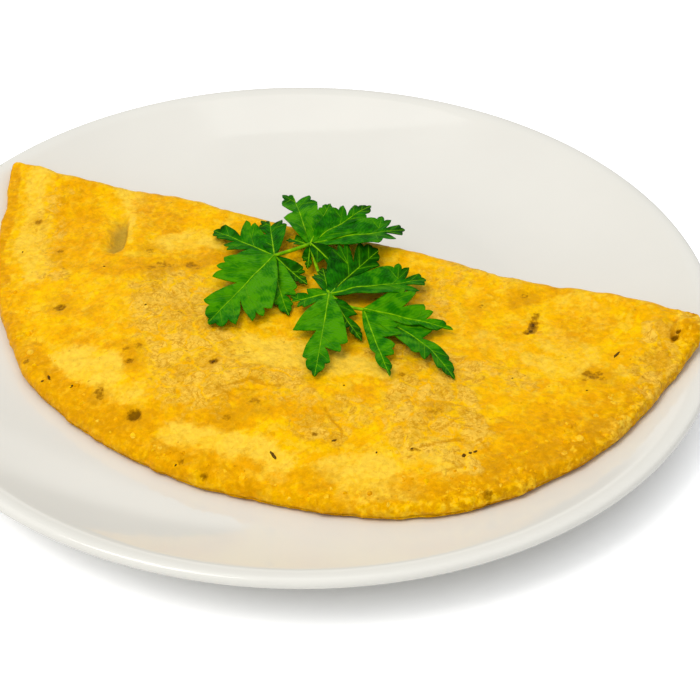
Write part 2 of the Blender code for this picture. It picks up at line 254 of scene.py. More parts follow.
PLATE_RADIUS = 135 * MM
WELL_RADIUS = 76 * MM
WELL_HEIGHT = 6.5 * MM
WALL_RADIUS = 129 * MM
WALL_RISE = 14.2 * MM
WALL_POWER = 1.75
WALL_POINTS = 36
LIP_RISE = 0.9 * MM
LIP_ROUND = 1.75 * MM
LIP_POINTS = 6
BODY_THICKNESS = 4.2 * MM
LIP_THICKNESS = 3.2 * MM
FOOT_OUTER_RADIUS = 78 * MM
FOOT_INNER_RADIUS = 71 * MM
FOOT_ROUND = 0.7 * MM
PLATE_STEPS = 192
GLAZE_WHITE = (0.785, 0.766, 0.700)
GLAZE_GREY = (0.765, 0.746, 0.682)
GLAZE_ROUGHNESS = (0.05, 0.08)
POOL_SCALE = 22.0
BARE_CLAY = (0.70, 0.64, 0.56)
BARE_ROUGHNESS = 0.6
BARE_HEIGHT = (0.9 * MM, 0.5 * MM)


def plate_top(radius):
    """Height of the plate's upper face, from the well out to the top of the wall."""
    share = (radius - WELL_RADIUS) / (WALL_RADIUS - WELL_RADIUS)
    return WELL_HEIGHT + WALL_RISE * min(max(share, 0.0), 1.0) ** WALL_POWER


def arc(middle, radius, start, end, points):
    """Points along an arc of the half section, from one angle in degrees to another."""
    angles = [math.radians(start + (end - start) * step / points) for step in range(points + 1)]
    return [(middle[0] + radius * math.cos(a), middle[1] + radius * math.sin(a)) for a in angles]


def plate_profile():
    """Half section of the plate: along its upper face, round the lip and back underneath."""
    shares = [step / WALL_POINTS for step in range(WALL_POINTS + 1)]
    wall = [WELL_RADIUS + (WALL_RADIUS - WELL_RADIUS) * share for share in shares]
    points = [(WELL_RADIUS * quarter / 4, WELL_HEIGHT) for quarter in range(4)]
    points += [(radius, plate_top(radius)) for radius in wall]
    crest = plate_top(WALL_RADIUS)
    lip_middle = (PLATE_RADIUS - LIP_ROUND, crest + LIP_RISE - LIP_ROUND)
    for step in range(1, LIP_POINTS):
        share = step / LIP_POINTS
        radius = WALL_RADIUS + (lip_middle[0] - WALL_RADIUS) * share
        points.append((radius, crest + LIP_RISE * share * (2 - share)))
    points += arc(lip_middle, LIP_ROUND, 90, -90, LIP_POINTS * 2)
    for radius, share in reversed(list(zip(wall, shares))[3:-2]):
        thickness = BODY_THICKNESS + (LIP_THICKNESS - BODY_THICKNESS) * share
        points.append((radius, plate_top(radius) - thickness))
    points += arc((FOOT_OUTER_RADIUS - FOOT_ROUND, FOOT_ROUND), FOOT_ROUND, 0, -90, 4)
    points += arc((FOOT_INNER_RADIUS + FOOT_ROUND, FOOT_ROUND), FOOT_ROUND, -90, -180, 4)
    points.append((FOOT_INNER_RADIUS - FOOT_ROUND, WELL_HEIGHT - BODY_THICKNESS))
    points.append((0.0, WELL_HEIGHT - BODY_THICKNESS))
    return points


shape = bmesh.new()
corners = [shape.verts.new((radius, 0, height)) for radius, height in plate_profile()]
for first, second in zip(corners, corners[1:]):
    shape.edges.new((first, second))
bmesh.ops.spin(
    shape, geom=shape.verts[:] + shape.edges[:], cent=(0, 0, 0), axis=(0, 0, 1),
    angle=math.tau, steps=PLATE_STEPS, use_merge=True,
)
bmesh.ops.remove_doubles(shape, verts=shape.verts, dist=0.01 * MM)
bmesh.ops.recalc_face_normals(shape, faces=shape.faces)

glaze, tree, shader, place = new_material("glazed_porcelain", 0.12, 0.5)
# The glaze pools unevenly: a little greyer in places, and never quite flat.
pooling = add_node(
    tree, "ShaderNodeTexNoise", Vector=place, Scale=POOL_SCALE, Detail=3.0
).outputs["Fac"]
glaze_colour = colour_ramp(tree, pooling, (0.35, GLAZE_GREY), (0.65, GLAZE_WHITE))
glaze_roughness = between(tree, pooling, 0.3, 0.7, *GLAZE_ROUGHNESS)
# Below the glaze line the foot ring is bare, matt clay.
height = add_node(tree, "ShaderNodeSeparateXYZ", Vector=place).outputs["Z"]
bare = between(tree, height, *BARE_HEIGHT)
give(tree, shader.inputs["Base Color"], blend_colours(tree, bare, glaze_colour, BARE_CLAY))
roughened = calculate(tree, "MULTIPLY", bare, BARE_ROUGHNESS)
give(tree, shader.inputs["Roughness"], calculate(tree, "ADD", glaze_roughness, roughened))
ripple = add_node(tree, "ShaderNodeBump", Strength=0.15, Distance=1.0 * MM, Height=pooling)
give(tree, shader.inputs["Normal"], ripple.outputs["Normal"])

plate = object_from("coupe_plate", shape, glaze)
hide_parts("plate")
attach(plate, "root")

# ---------------------------------------------------------------- omelette
# A round omelette of about five eggs, fried until its skin browned in patches and folded once into
# a half moon. The fold is a thick round roll, and the open edge thins out to a crinkled rim.

FOLD_MIDDLE = Vector((11.9, 24.4)) * MM
FOLD_TURN = math.radians(-22.6)
ALONG = Vector((math.cos(FOLD_TURN), math.sin(FOLD_TURN)))
OUT = Vector((math.sin(FOLD_TURN), -math.cos(FOLD_TURN)))
# (degrees, mm): reach from the fold's middle to the open edge, from the right tip to the left.
EDGE_REACH = (
    (0, 123.5), (5, 126), (12, 125), (19, 125.3), (30, 127.3), (45, 129.3), (54, 129.3),
    (62, 126), (70, 121.7), (80, 118), (90, 116.7), (102, 115.3), (125, 115.7), (140, 115.5),
    (155, 117), (170, 120.3), (176, 124), (180, 127),
)
# (place along the fold, how far behind its axis the fold lies) in mm.
FOLD_LINE = (
    (-127, 0), (-105, 1.0), (-90, 2.8), (-77, 5.2), (-66, 7.0), (-52, 7.0), (-40, 6.0),
    (-20, 5.6), (0, 5.8), (20, 6.8), (38, 7.0), (50, 5.4), (58, 4.8), (70, 5.4), (82, 5.5),
    (95, 5.0), (106, 3.8), (115, 1.6), (123.5, -1.5),
)
SKIN_GAP = 0.3 * MM
BODY_HEIGHT = 14.5 * MM
EDGE_HEIGHT = 4.5 * MM
EDGE_SLOPE_LENGTH = 48 * MM
EDGE_SLOPE_POWER = 2.2
FOLD_SWELL = 3.0 * MM
FOLD_SWELL_WIDTH = 14 * MM
FOLD_CREST = 4.7 * MM
TIP_SLOPE_LENGTH = 16 * MM
SURFACE_WAVE = 0.8 * MM
WAVE_LENGTH = 28 * MM
CURL_LIFT = 3 * MM
CURL_SPREAD = 9 * MM
HEART = Vector((2, 42)) * MM
OUTLINE_POINTS = 336
CORNER_PASSES = 4

SLICES = 430
ROLL_ROWS = 9
FIELD_ROWS = 150
BRIM_ROWS = 10
UNDER_ROWS = 20
TUCK_ROWS = 6
FOLD_ROLL = 7.5 * MM
FOLD_TUCK = 4.5 * MM
FOLD_MID_LEVEL = 0.47
EDGE_BRIM = 2.1 * MM
EDGE_MID_LEVEL = 0.38
# (inset mm, level): the open edge below its outermost line, where the two layers meet.
EDGE_FOOT = ((0.2, 0.32), (1.0, 0.26), (0.3, 0.18), (0.7, 0.08), (2.2, 0.0))
TIP_LENGTH = 30 * MM
# (length, depth) in mm of the waves that make each line ragged, and how many points they fade over.
FOLD_WAVES = ((17, 0.7), (6, 0.35), (2.5, 0.15))
EDGE_WAVES = ((13, 0.6), (5, 0.55), (2.2, 0.35))
WAVE_FADE = 12
BRIM_WAVE_LENGTH = 9 * MM
BRIM_WAVE = 0.4
LAYERS = ("relief_share", "orange", "pale", "skin", "tan", "brown", "crease", "dent", "rim")


def smooth_table(table, x):
    """A cubic curve through the table's points, each with the slope between its neighbours."""
    places = [row[0] for row in table]
    values = [row[1] for row in table]
    last = len(table) - 1
    i = min(max(bisect.bisect_right(places, x) - 1, 0), last - 1)

    def slope(k):
        low, high = max(k - 1, 0), min(k + 1, last)
        return (values[high] - values[low]) / (places[high] - places[low])

    span = places[i + 1] - places[i]
    u = min(max((x - places[i]) / span, 0.0), 1.0)
    return (
        values[i] * (2 * u**3 - 3 * u**2 + 1)
        + values[i + 1] * (3 * u**2 - 2 * u**3)
        + slope(i) * span * (u**3 - 2 * u**2 + u)
        + slope(i + 1) * span * (u**3 - u**2)
    )


def smooth_step(value, low, high):
    """0 up to low, 1 from high on, and eased between them."""
    share = min(max((value - low) / (high - low), 0.0), 1.0)
    return share * share * (3 - 2 * share)


def fold_bow(along):
    """How far behind the fold's axis the fold itself lies."""
    return smooth_table(FOLD_LINE, along / MM) * MM


def edge_reach(point):
    """Distance from the fold's middle to the open edge, in the direction of a plan point."""
    angle = math.degrees(math.atan2(max(point.y, 0.0), point.x))
    return smooth_table(EDGE_REACH, angle) * MM


def spread(points, steps):
    """An open line's points again, at equal steps along it."""
    lengths = [0.0]
    for first, second in zip(points, points[1:]):
        lengths.append(lengths[-1] + (second - first).length)
    even = []
    for step in range(steps + 1):
        wanted = lengths[-1] * step / steps
        i = min(bisect.bisect_right(lengths, wanted) - 1, len(points) - 2)
        share = (wanted - lengths[i]) / (lengths[i + 1] - lengths[i])
        even.append(points[i].lerp(points[i + 1], share))
    return even


def omelette_outline():
    """The plan as two lines, both from the left tip to the right: the fold and the open edge."""
    edge = []
    for degrees in range(180, -1, -2):
        direction = Vector((math.cos(math.radians(degrees)), math.sin(math.radians(degrees))))
        edge.append(direction * edge_reach(direction))
    left, right = edge[0].x, edge[-1].x
    alongs = [left + (right - left) * step / 80 for step in range(81)]
    fold = [Vector((along, -fold_bow(along))) for along in alongs]
    edge_length = sum((b - a).length for a, b in zip(edge, edge[1:]))
    fold_length = sum((b - a).length for a, b in zip(fold, fold[1:]))
    loop = spread(edge + fold[-2::-1], OUTLINE_POINTS)[:-1]
    for _ in range(CORNER_PASSES):
        loop = [
            (loop[i - 1] + loop[i] * 2 + loop[(i + 1) % len(loop)]) / 4
            for i in range(len(loop))
        ]
    right_tip = round(OUTLINE_POINTS * edge_length / (edge_length + fold_length))
    back = (loop[right_tip:] + loop[:1])[::-1]
    return spread(back, SLICES), spread(loop[:right_tip + 1], SLICES)


def to_plate(point):
    """From the fold's plan axes to the plate's."""
    return FOLD_MIDDLE + ALONG * point.x + OUT * point.y


def from_plate(place):
    """From the plate's plan axes to the fold's."""
    offset = place - FOLD_MIDDLE
    return Vector((offset.dot(ALONG), offset.dot(OUT)))


def curl(point):
    """How far the right tip, which dries and turns up, stands off the plate."""
    tip = Vector((EDGE_REACH[0][1] * MM, 0))
    return CURL_LIFT * math.exp(-((point - tip).length_squared) / (2 * CURL_SPREAD**2))


def underside(point):
    """Height of the egg's underside over the table."""
    return plate_top(to_plate(point).length) + SKIN_GAP + curl(point)


def thickness(point):
    """Both layers together: thin at the open edge and the tips, thickest along the fold."""
    from_edge = edge_reach(point) - point.length
    rise = 1 - (1 - min(max(from_edge / EDGE_SLOPE_LENGTH, 0.0), 1.0)) ** EDGE_SLOPE_POWER
    from_fold = point.y + fold_bow(point.x)
    swell = FOLD_SWELL * math.exp(-((from_fold / FOLD_SWELL_WIDTH) ** 2))
    swell *= smooth_step(from_edge, 0, TIP_SLOPE_LENGTH)
    wave = SURFACE_WAVE * rise * noise.noise(Vector((point.x, point.y, 0)) / WAVE_LENGTH)
    return EDGE_HEIGHT + (BODY_HEIGHT - EDGE_HEIGHT) * rise + swell + wave


def ragged_line(line, waves):
    """A line with its points pushed out and in from the omelette's heart by some waves."""
    ragged = []
    for index, point in enumerate(line):
        outward = (point - HEART).normalized()
        fade = min(index, len(line) - 1 - index) / WAVE_FADE
        push = sum(
            depth * noise.noise(Vector((point.x / MM / length, point.y / MM / length, length)))
            for length, depth in waves
        )
        ragged.append(point + outward * push * MM * min(fade, 1.0))
    return ragged


def slice_stations(length, brim):
    """A slice's stations: (distance from the fold, level), over the top and back underneath."""
    ease = min(1.0, length / TIP_LENGTH)
    roll, tuck = FOLD_ROLL * ease, FOLD_TUCK * ease
    brim = brim * ease
    stations = []
    for row in range(ROLL_ROWS):
        turn = math.pi / 2 * row / ROLL_ROWS
        level = FOLD_MID_LEVEL + (1 - FOLD_MID_LEVEL) * math.sin(turn)
        stations.append((roll * (1 - math.cos(turn)), level, 1.0))
    for row in range(FIELD_ROWS + 1):
        stations.append((roll + (length - roll - brim) * row / FIELD_ROWS, 1.0, 1.0))
    for row in range(1, BRIM_ROWS + 1):
        turn = math.pi / 2 * (1 - row / BRIM_ROWS)
        level = EDGE_MID_LEVEL + (1 - EDGE_MID_LEVEL) * math.sin(turn)
        stations.append((length - brim * (1 - math.cos(turn)), level, 1.0))
    for inset, level in EDGE_FOOT:
        stations.append((length - inset * MM * ease, level, level / EDGE_MID_LEVEL))
    inset = EDGE_FOOT[-1][0] * MM * ease
    for row in range(1, UNDER_ROWS + 1):
        stations.append((length - inset - (length - inset - tuck) * row / UNDER_ROWS, 0.0, 0.0))
    for row in range(1, TUCK_ROWS):
        turn = math.pi / 2 * (1 - row / TUCK_ROWS)
        level = FOLD_MID_LEVEL * (1 - math.sin(turn))
        stations.append((tuck * (1 - math.cos(turn)), level, level / FOLD_MID_LEVEL))
    return stations


back_line, front_line = omelette_outline()
back_line = ragged_line(back_line, FOLD_WAVES)
front_line = ragged_line(front_line, EDGE_WAVES)
loop_length = len(slice_stations(TIP_LENGTH, EDGE_BRIM))
slices = []
for back, front in zip(back_line, front_line):
    length = max((front - back).length, 0.01 * MM)
    drawn_in = noise.noise(Vector((front.x, front.y, 0)) / BRIM_WAVE_LENGTH)
    brim = EDGE_BRIM * (1 + BRIM_WAVE * drawn_in)
    ring = []
    for distance, level, relief in slice_stations(length, brim):
        point = back.lerp(front, distance / length)
        place = to_plate(point)
        height = underside(point) + thickness(point) * level
        ring.append((Vector((place.x, place.y, height)), relief))
    slices.append(ring)

# A globe's grid makes the closed skin: its poles are the two tips, and each of its parallels is
# laid out as one slice across the omelette.
shape = bmesh.new()
bmesh.ops.create_uvsphere(shape, u_segments=loop_length, v_segments=SLICES, radius=1)
for name in LAYERS:
    shape.verts.layers.float.new(name)
layers = shape.verts.layers.float
relief_share = layers["relief_share"]
for vert in shape.verts:
    band = round(math.acos(max(-1.0, min(1.0, vert.co.z))) / math.pi * SLICES)
    station = round(math.atan2(vert.co.y, vert.co.x) / math.tau * loop_length) % loop_length
    if band in (0, SLICES):
        rim = back_line[band]
        place = to_plate(rim)
        vert.co = (place.x, place.y, underside(rim) + thickness(rim) / 2)
    else:
        vert.co, vert[relief_share] = slices[band][station]
bmesh.ops.recalc_face_normals(shape, faces=shape.faces)
shape.normal_update()
# (from x, from y, to x, to y, half width, strength) in mm on the plate, for each kind of patch.
ORANGE_PATCHES = (
    (-80, 50, -77, 26, 9, 0.65), (-51, 46, -47, 36, 8, 0.7), (-80, 16, -58, 11, 4.5, 0.7),
    (-58, 11, -36, 15, 4, 0.6), (-34, 17, -14, 10, 5, 0.7), (-76, -22, -70, -26, 4.5, 0.6),
    (-104, 68, -104, 5, 2.5, 0.9), (-101, -2, -92, -24, 4, 0.8), (-92, -24, -76, -48, 5, 0.9),
    (-76, -48, -50, -66, 6, 0.9), (-52, -69, -20, -86, 5, 0.8), (-20, -82, 5, -92, 5, 0.6),
    (-45, -57, -20, -64, 5, 0.8), (8, -60, 18, -56, 4, 0.7), (70, -8, 84, -6, 4, 0.6),
    (84, -30, 92, -24, 7, 0.5), (58, -32, 64, -28, 6, 0.4), (100, -10, 108, -16, 6, 0.4),
    (55, -88, 80, -78, 7, 0.8), (60, -75, 75, -66, 7, 0.7), (84, -62, 96, -58, 6, 0.6),
    (30, -93, 52, -92, 5, 0.6), (-60, -30, -53, -40, 3.5, 0.7), (-8, -60, 4, -64, 5, 0.6),
    (2, -96, 12, -98, 4, 0.8), (50, -70, 56, -74, 3, 0.7), (74, -66, 88, -62, 6.5, 0.6),
    (60, -84, 84, -74, 9, 0.6), (66, -4, 76, -7, 3, 0.5), (-25, -55, -19, -60, 4, 0.7),
)
PALE_PATCHES = (
    (-94, 62, -92, 12, 4.5, 0.7), (-60, 54, -56, 46, 5, 0.7), (-44, 25, -34, 24, 6, 0.8),
    (-73, -34, -62, -42, 6.5, 1), (-60, -50, -52, -52, 4, 0.6), (-18, -34, 8, -40, 7, 0.9),
    (5, -42, 25, -44, 5, 0.8), (-38, -68, -8, -80, 5.5, 0.9), (9, -84, 22, -87, 6, 1),
    (14, -94, 30, -93, 5, 0.6), (88, -74, 96, -71, 3, 1), (32, -82, 41, -80, 4, 0.6),
    (40, -88, 48, -86, 3.5, 0.7), (84, 0, 96, -8, 5, 0.4), (70, -40, 82, -44, 5, 0.5),
    (58, -28, 66, -34, 4, 0.5), (96, -46, 99, -47, 2.5, 0.6), (78, -30, 86, -38, 6, 0.45),
    (86, -12, 92, -20, 5, 0.45), (60, 6, 72, 2, 4, 0.5), (14, -97, 28, -98, 2.5, 0.7),
)
SKIN_PATCHES = (
    (-45, -5, -32, -45, 14, 0.8), (-24, -46, -4, -48, 4.5, 0.9), (-34, -52, -26, -58, 4, 0.7),
    (-8, -54, 4, -58, 4, 0.5), (0, -66, 8, -70, 4.5, 0.8), (12, -62, 18, -64, 4.5, 0.7),
    (34, -58, 34, -74, 9, 1), (44, -62, 50, -74, 5, 0.9), (43, -78, 48, -87, 3.5, 0.8),
    (28, -35, 50, -45, 8, 0.6), (48, 5, 40, -15, 8, 0.5), (112, -34, 104, -54, 7, 0.7),
    (60, 10, 66, 0, 5, 0.4), (-88, 50, -84, 8, 6, 0.5), (60, -44, 66, -52, 4, 0.5),
    (44, -53, 48, -62, 5, 0.9),
)
# Dabs too small to wander, in the same terms.
ORANGE_DABS = ((120.5, -29.5, 123, -31.5, 1.8, 1), (-104, 60, -104.5, 20, 1.2, 0.9))
PALE_DABS_AND_HIGHLIGHTS = (
    # The first two run along the top of the dent's steep wall and are painted highlights; the other
    # two pale the torn tip's rim.
    (-59.3, 44, -60, 36, 1.4, 0.8), (-60, 34, -59.4, 25, 1.0, 0.6),
    (118.5, -25.5, 122.5, -23.8, 1.1, 1), (124.2, -26, 125, -33, 0.9, 0.8),
)
TAN_BLOTS = (
    (-92.5, 39.7, -92, 39.7, 3.5, 0.6), (-83, 22.9, -86, 20, 2.5, 0.7), (-79, -7, -80, -7, 4, 0.7),
    (-50.8, 9.9, -47, 11, 4, 0.8), (-52.5, 20.5, -50, 21, 3.4, 0.7), (-38.4, 13, -36, 12, 3.8, 0.8),
    (-54, -30, -54, -37, 3.5, 0.8), (-63.5, -48, -63, -50, 2.6, 0.9),
    (-52, -58.6, -51, -59, 4, 0.9), (-15.9, -57.5, -14, -60, 3.5, 0.9),
    (-25, -63, -23, -64, 4, 0.8), (-28.4, -39.3, -28, -39, 3, 0.8),
    (71.7, -7.6, 69, -8.5, 4, 0.9), (57, -11.6, 55, -12, 2.5, 0.6), (39.7, -64.7, 38, -64, 3, 0.7),
    (88, -48.5, 91, -50, 4.5, 0.8), (85.8, -72, 86, -75, 3, 1), (69.7, -83.6, 72, -84, 4, 0.8),
    (56, -86.3, 54, -90, 4, 0.7), (29.7, -46.7, 33, -45, 3, 0.7), (3, -71, 0, -70, 3, 0.5),
    (115.5, -33, 114, -28, 2.5, 0.7), (112, -40, 110, -44, 2.5, 0.5), (8, -86, 2, -88, 4, 0.5),
    (30, -98, 34, -99, 3, 0.6), (-40, -14, -36, -16, 3.5, 0.5), (-70, -11, -68, -12, 2.4, 0.5),
)
# (x, y, radius, strength) in mm: places where the pan scorched the skin. The two in the torn
# tip's pits, at x 116.2 and 117.5, darken them as painted shade.
BROWN_SPOTS = (
    (-52.5, 20.5, 1.5, 0.5), (-51, 10.5, 1.6, 0.6), (-48, 13, 1.8, 0.6), (-45, 12.5, 1.2, 0.6),
    (-38.4, 13, 1.8, 0.75), (-36, 11.5, 1.4, 0.6), (-92.5, 39.7, 1.3, 0.8), (-83.1, 22.9, 1, 0.7),
    (-79.6, -7.2, 1.5, 1), (-81.5, -7, 1, 0.6), (-55, -37, 1.2, 0.95), (-52.4, -30.5, 1.3, 0.6),
    (-56, -32, 1.5, 0.5), (-28.4, -39.3, 1.4, 1), (-63.5, -48, 1.5, 0.85), (-63, -50, 1.1, 0.8),
    (-51.9, -58.6, 2.0, 1.3), (-15.9, -57.5, 1.4, 0.6), (-14.5, -58.5, 1.2, 0.5),
    (-23.5, -63.5, 1.3, 0.6), (2.8, -72.1, 0.9, 0.8), (39.7, -64.7, 1.5, 0.5), (37, -64.5, 1, 0.5),
    (31.4, -79.5, 0.8, 0.8), (33, -79.8, 0.7, 0.7), (36, -80.3, 0.7, 0.6), (71.7, -7.6, 1.6, 0.45),
    (57, -11.6, 1, 0.6), (87, -46.9, 1.5, 0.75), (88.8, -48.4, 1.6, 0.8), (90.8, -47.2, 1, 0.7),
    (86, -49.6, 0.9, 0.5), (91.5, -49.8, 1.2, 0.5), (116.2, -33.2, 0.95, 1.3),
    (117.5, -31.3, 0.6, 1.3), (-36.7, -77.7, 0.9, 0.8),
    (-29.4, -83.4, 1.1, 0.8), (-88.1, -30.6, 0.9, 0.9), (29.7, -46.7, 1.2, 0.6),
    (51.9, -97.2, 1.4, 0.8), (-90, -17, 1, 0.5), (104, -50, 1, 0.5), (-40, -14, 1.2, 0.4),
)
SPOT_LENGTH = 0.3
BROWN_DABS = (
    (75, -16.5, 73.6, -20, 1.2, 0.75), (73.6, -20.5, 72.8, -24, 1.5, 1.0),
    (72.6, -25.3, 70.8, -25.6, 1.1, 1.0),
)
# Where the skin has folded on itself, in the patches' terms. The first two on the line at x 115.6
# and 116.6 run down the torn tip's groove, and their brown there is painted shade.
CREASES = (
    (-26.4, -51.7, -21.3, -50, 0.6, 0.8), (-21.3, -50, -16.1, -48.6, 0.7, 1),
    (-16.1, -48.6, -12.1, -51.3, 0.6, 1), (-12.1, -51.3, -7.5, -51.9, 0.5, 0.9),
    (-7.5, -51.9, -5.7, -50.1, 0.5, 0.7), (-20, -52.5, -14, -53, 0.5, 0.7),
    (-26.4, -51.7, -20, -56, 0.5, 0.6), (6.1, -61.9, 8.5, -66.8, 0.45, 0.8),
    (8.5, -66.8, 10.8, -70.1, 0.45, 0.9), (10.8, -70.1, 10.5, -73.1, 0.5, 0.8),
    (10.5, -73.1, 3, -76, 0.45, 0.6), (40.1, -72, 44.8, -67.7, 0.5, 0.8),
    (44.8, -67.7, 49, -66.5, 0.5, 0.6), (34, -78.4, 41.3, -76.7, 0.5, 0.8),
    (41.3, -76.7, 46.3, -75.9, 0.6, 0.9), (51.6, -76.5, 53.6, -80, 0.5, 0.8),
    (53.6, -80, 55.8, -82.2, 0.5, 0.7), (-46.2, -66.9, -39.9, -72.8, 0.5, 0.6),
    (-39.9, -72.8, -33.8, -76.4, 0.5, 0.5), (-81.3, -36.5, -79.7, -39.7, 0.5, 1),
    (-89.5, -18.7, -87.4, -16.8, 0.5, 0.7), (-88, -21, -84, -24, 0.5, 0.6),
    (58, -66, 63, -70, 0.5, 0.5), (41, -88, 46, -86, 0.6, 0.7), (-36, -50, -33, -56, 0.5, 0.6),
    (115.6, -35, 116.2, -31, 0.7, 0.9), (116.6, -30, 117.6, -26, 0.6, 0.8),
    (-29.4, -83.4, -27.8, -80.5, 0.6, 0.8), (-60, -20, -52, -18, 0.5, 0.4),
    (-50, -22, -44, -26, 0.5, 0.4), (60, -6, 66, -8, 0.6, 0.4),
)
# The dent runs down from the fold: a slow slope at its left, and a steep wall at its right that
# stands at DENT_WALL. Its rims are given in mm across from the wall, and along it on the plate.
DENT_WALL = -61.4
DENT_SLOPE = (-8.5, -1.5)
DENT_STEP = (-0.3, 1.2)
DENT_FRONT = (18.5, 23)
DENT_BACK = (32, 46)
DENT_LEAN = 0.6
DENT_DEPTH = 2.8
# (wave length, shift) in mm.
DENT_WAVE = (5, 0.8)
# (x, y, radius, height) in mm: swellings, the torn and curled right tip, and its pits.
SWELLINGS = (
    (-57.5, 30, 4.5, 0.8), (-56, 38, 5, 0.6), (121.5, -29, 3.0, 0.9), (116.2, -33.2, 1.5, -1.8),
    (117.4, -31.3, 1.0, -1.3), (116.8, -26, 1.6, -1.4), (116, -21, 4, -1.3), (123, -23, 3, -0.9),
    (124, -33, 2.5, 0.4), (-18, -45, 5, 0.6), (-17, -53, 4, -0.5), (-30, -50, 5, 0.4),
    (94, -72.5, 3.5, 0.7),
    (34, -66, 8, 0.5), (46, -70, 4, 0.4), (41, -81, 5, 0.4), (-51.9, -58.6, 2.4, -0.7),
    (18, -85, 8, 0.5), (-68, -38, 6, 0.4), (5, -97, 2.2, 0.7), (44, -97, 2.6, 0.5),
)
SWELLING_REACH = 2.5
# (size, height) in mm of the skin's lumps, and of the open rim's crumbs.
LUMPS = ((13, 0.45), (5.5, 0.34), (2.6, 0.2), (1.3, 0.08))
CRUMBLE = ((3.0, 0.5), (1.5, 0.3))
# The crumbly rim ends between these distances from the edge, and it's weaker at the left.
RIM_WIDTHS = (2.5, 13)
RIM_LEFT_SHARE = 0.4
RIM_SPAN = (-10, 50)
WRINKLE_DEPTH = 0.35
WRINKLE_SIZE = 4.5
WRINKLE_OFFSET = Vector((40, 0, 0))
WRINKLE_SHARPNESS = 4
SCORCH_PIT = 0.3
CREASE_PIT = 0.45
# A patch's rim wanders by these (wave length, shift) in mm. The seed keeps it the same in each run.
WANDERS = ((12, 3.5), (4, 1.5))
WANDER_SEED = 31
CREASE_WANDER = 0.15
# A stroke fades out from CORE to REACH times its half width.
STROKE_CORE = 0.5
STROKE_REACH = 1.6
CELL = 10.0


def distance_to_line(x, y, line):
    """Distance in mm from a place to the straight line between a row's first two points."""
    run_x, run_y = line[2] - line[0], line[3] - line[1]
    share = ((x - line[0]) * run_x + (y - line[1]) * run_y) / (run_x**2 + run_y**2)
    share = min(max(share, 0.0), 1.0)
    return math.hypot(x - line[0] - run_x * share, y - line[1] - run_y * share)


def sorted_places(wandering):
    """The upper side's points by cells, each looked up some way off, so that rims wander."""
    cells = {}
    for vert in shape.verts:
        if vert[relief_share] > 0:
            at = Vector((vert.co.x, vert.co.y, 0)) / MM
            (far, far_shift), (near, near_shift) = WANDERS
            wander = noise.noise_vector(at / far) * far_shift
            wander += noise.noise_vector(at / near) * near_shift
            at += wander * wandering
            cell = (math.floor(at.x / CELL), math.floor(at.y / CELL))
            cells.setdefault(cell, []).append((vert, at.x, at.y))
    return cells


def brush(cells, layer, strokes):
    """Paints each stroke into a layer, where it's stronger than what is there."""
    for stroke in strokes:
        half_width, strength = stroke[4:]
        reach = STROKE_REACH * half_width
        low_x, high_x = min(stroke[0], stroke[2]) - reach, max(stroke[0], stroke[2]) + reach
        low_y, high_y = min(stroke[1], stroke[3]) - reach, max(stroke[1], stroke[3]) + reach
        for column in range(math.floor(low_x / CELL), math.floor(high_x / CELL) + 1):
            for line in range(math.floor(low_y / CELL), math.floor(high_y / CELL) + 1):
                for vert, x, y in cells.get((column, line), ()):
                    away = distance_to_line(x, y, stroke) / half_width
                    if away < STROKE_REACH:
                        share = 1 - smooth_step(away, STROKE_CORE, STROKE_REACH)
                        vert[layer] = max(vert[layer], strength * share)


noise.seed_set(WANDER_SEED)
wandering_places = sorted_places(1)
brush(wandering_places, layers["orange"], ORANGE_PATCHES)
brush(wandering_places, layers["pale"], PALE_PATCHES)
brush(wandering_places, layers["skin"], SKIN_PATCHES)
brush(wandering_places, layers["tan"], TAN_BLOTS)
places = sorted_places(0)
brush(places, layers["orange"], ORANGE_DABS)
brush(places, layers["pale"], PALE_DABS_AND_HIGHLIGHTS)
spots = [(x, y, x + SPOT_LENGTH, y, radius, strength) for x, y, radius, strength in BROWN_SPOTS]
brush(places, layers["brown"], spots)
brush(places, layers["brown"], BROWN_DABS)
brush(sorted_places(CREASE_WANDER), layers["crease"], CREASES)

for vert in shape.verts:
    if vert[relief_share] > 0:
        at = vert.co / MM
        point = from_plate(vert.co.xy)
        from_edge = (edge_reach(point) - point.length) / MM
        rim = 1 - smooth_step(from_edge, *RIM_WIDTHS)
        rim *= RIM_LEFT_SHARE + (1 - RIM_LEFT_SHARE) * smooth_step(at.x, *RIM_SPAN)
        vert[layers["rim"]] = rim
        lift = sum(depth * noise.noise(at / size) for size, depth in LUMPS)
        lift += rim * sum(depth * noise.noise(at / size) for size, depth in CRUMBLE)
        crease = 1 - abs(noise.noise(at / WRINKLE_SIZE + WRINKLE_OFFSET)) * WRINKLE_SHARPNESS
        lift += WRINKLE_DEPTH * vert[layers["skin"]] * max(crease, 0.0)
        across = at.x - DENT_WALL
        if DENT_SLOPE[0] < across < DENT_STEP[1] and DENT_FRONT[0] < at.y < DENT_BACK[1]:
            across += DENT_WAVE[1] * noise.noise(at / DENT_WAVE[0])
            leaning = at.y - max(0, across + 3) * DENT_LEAN
            dent = smooth_step(across, *DENT_SLOPE) * (1 - smooth_step(across, *DENT_STEP))
            dent *= smooth_step(leaning, *DENT_FRONT) * (1 - smooth_step(at.y, *DENT_BACK))
            vert[layers["dent"]] = dent
            lift -= DENT_DEPTH * dent
        lift -= SCORCH_PIT * vert[layers["brown"]] + CREASE_PIT * vert[layers["crease"]]
        for x, y, radius, height in SWELLINGS:
            away = math.hypot(at.x - x, at.y - y) / radius
            if away < SWELLING_REACH:
                lift += height * math.exp(-away * away)
        vert.co += vert.normal * lift * MM * vert[relief_share]
shape.normal_update()

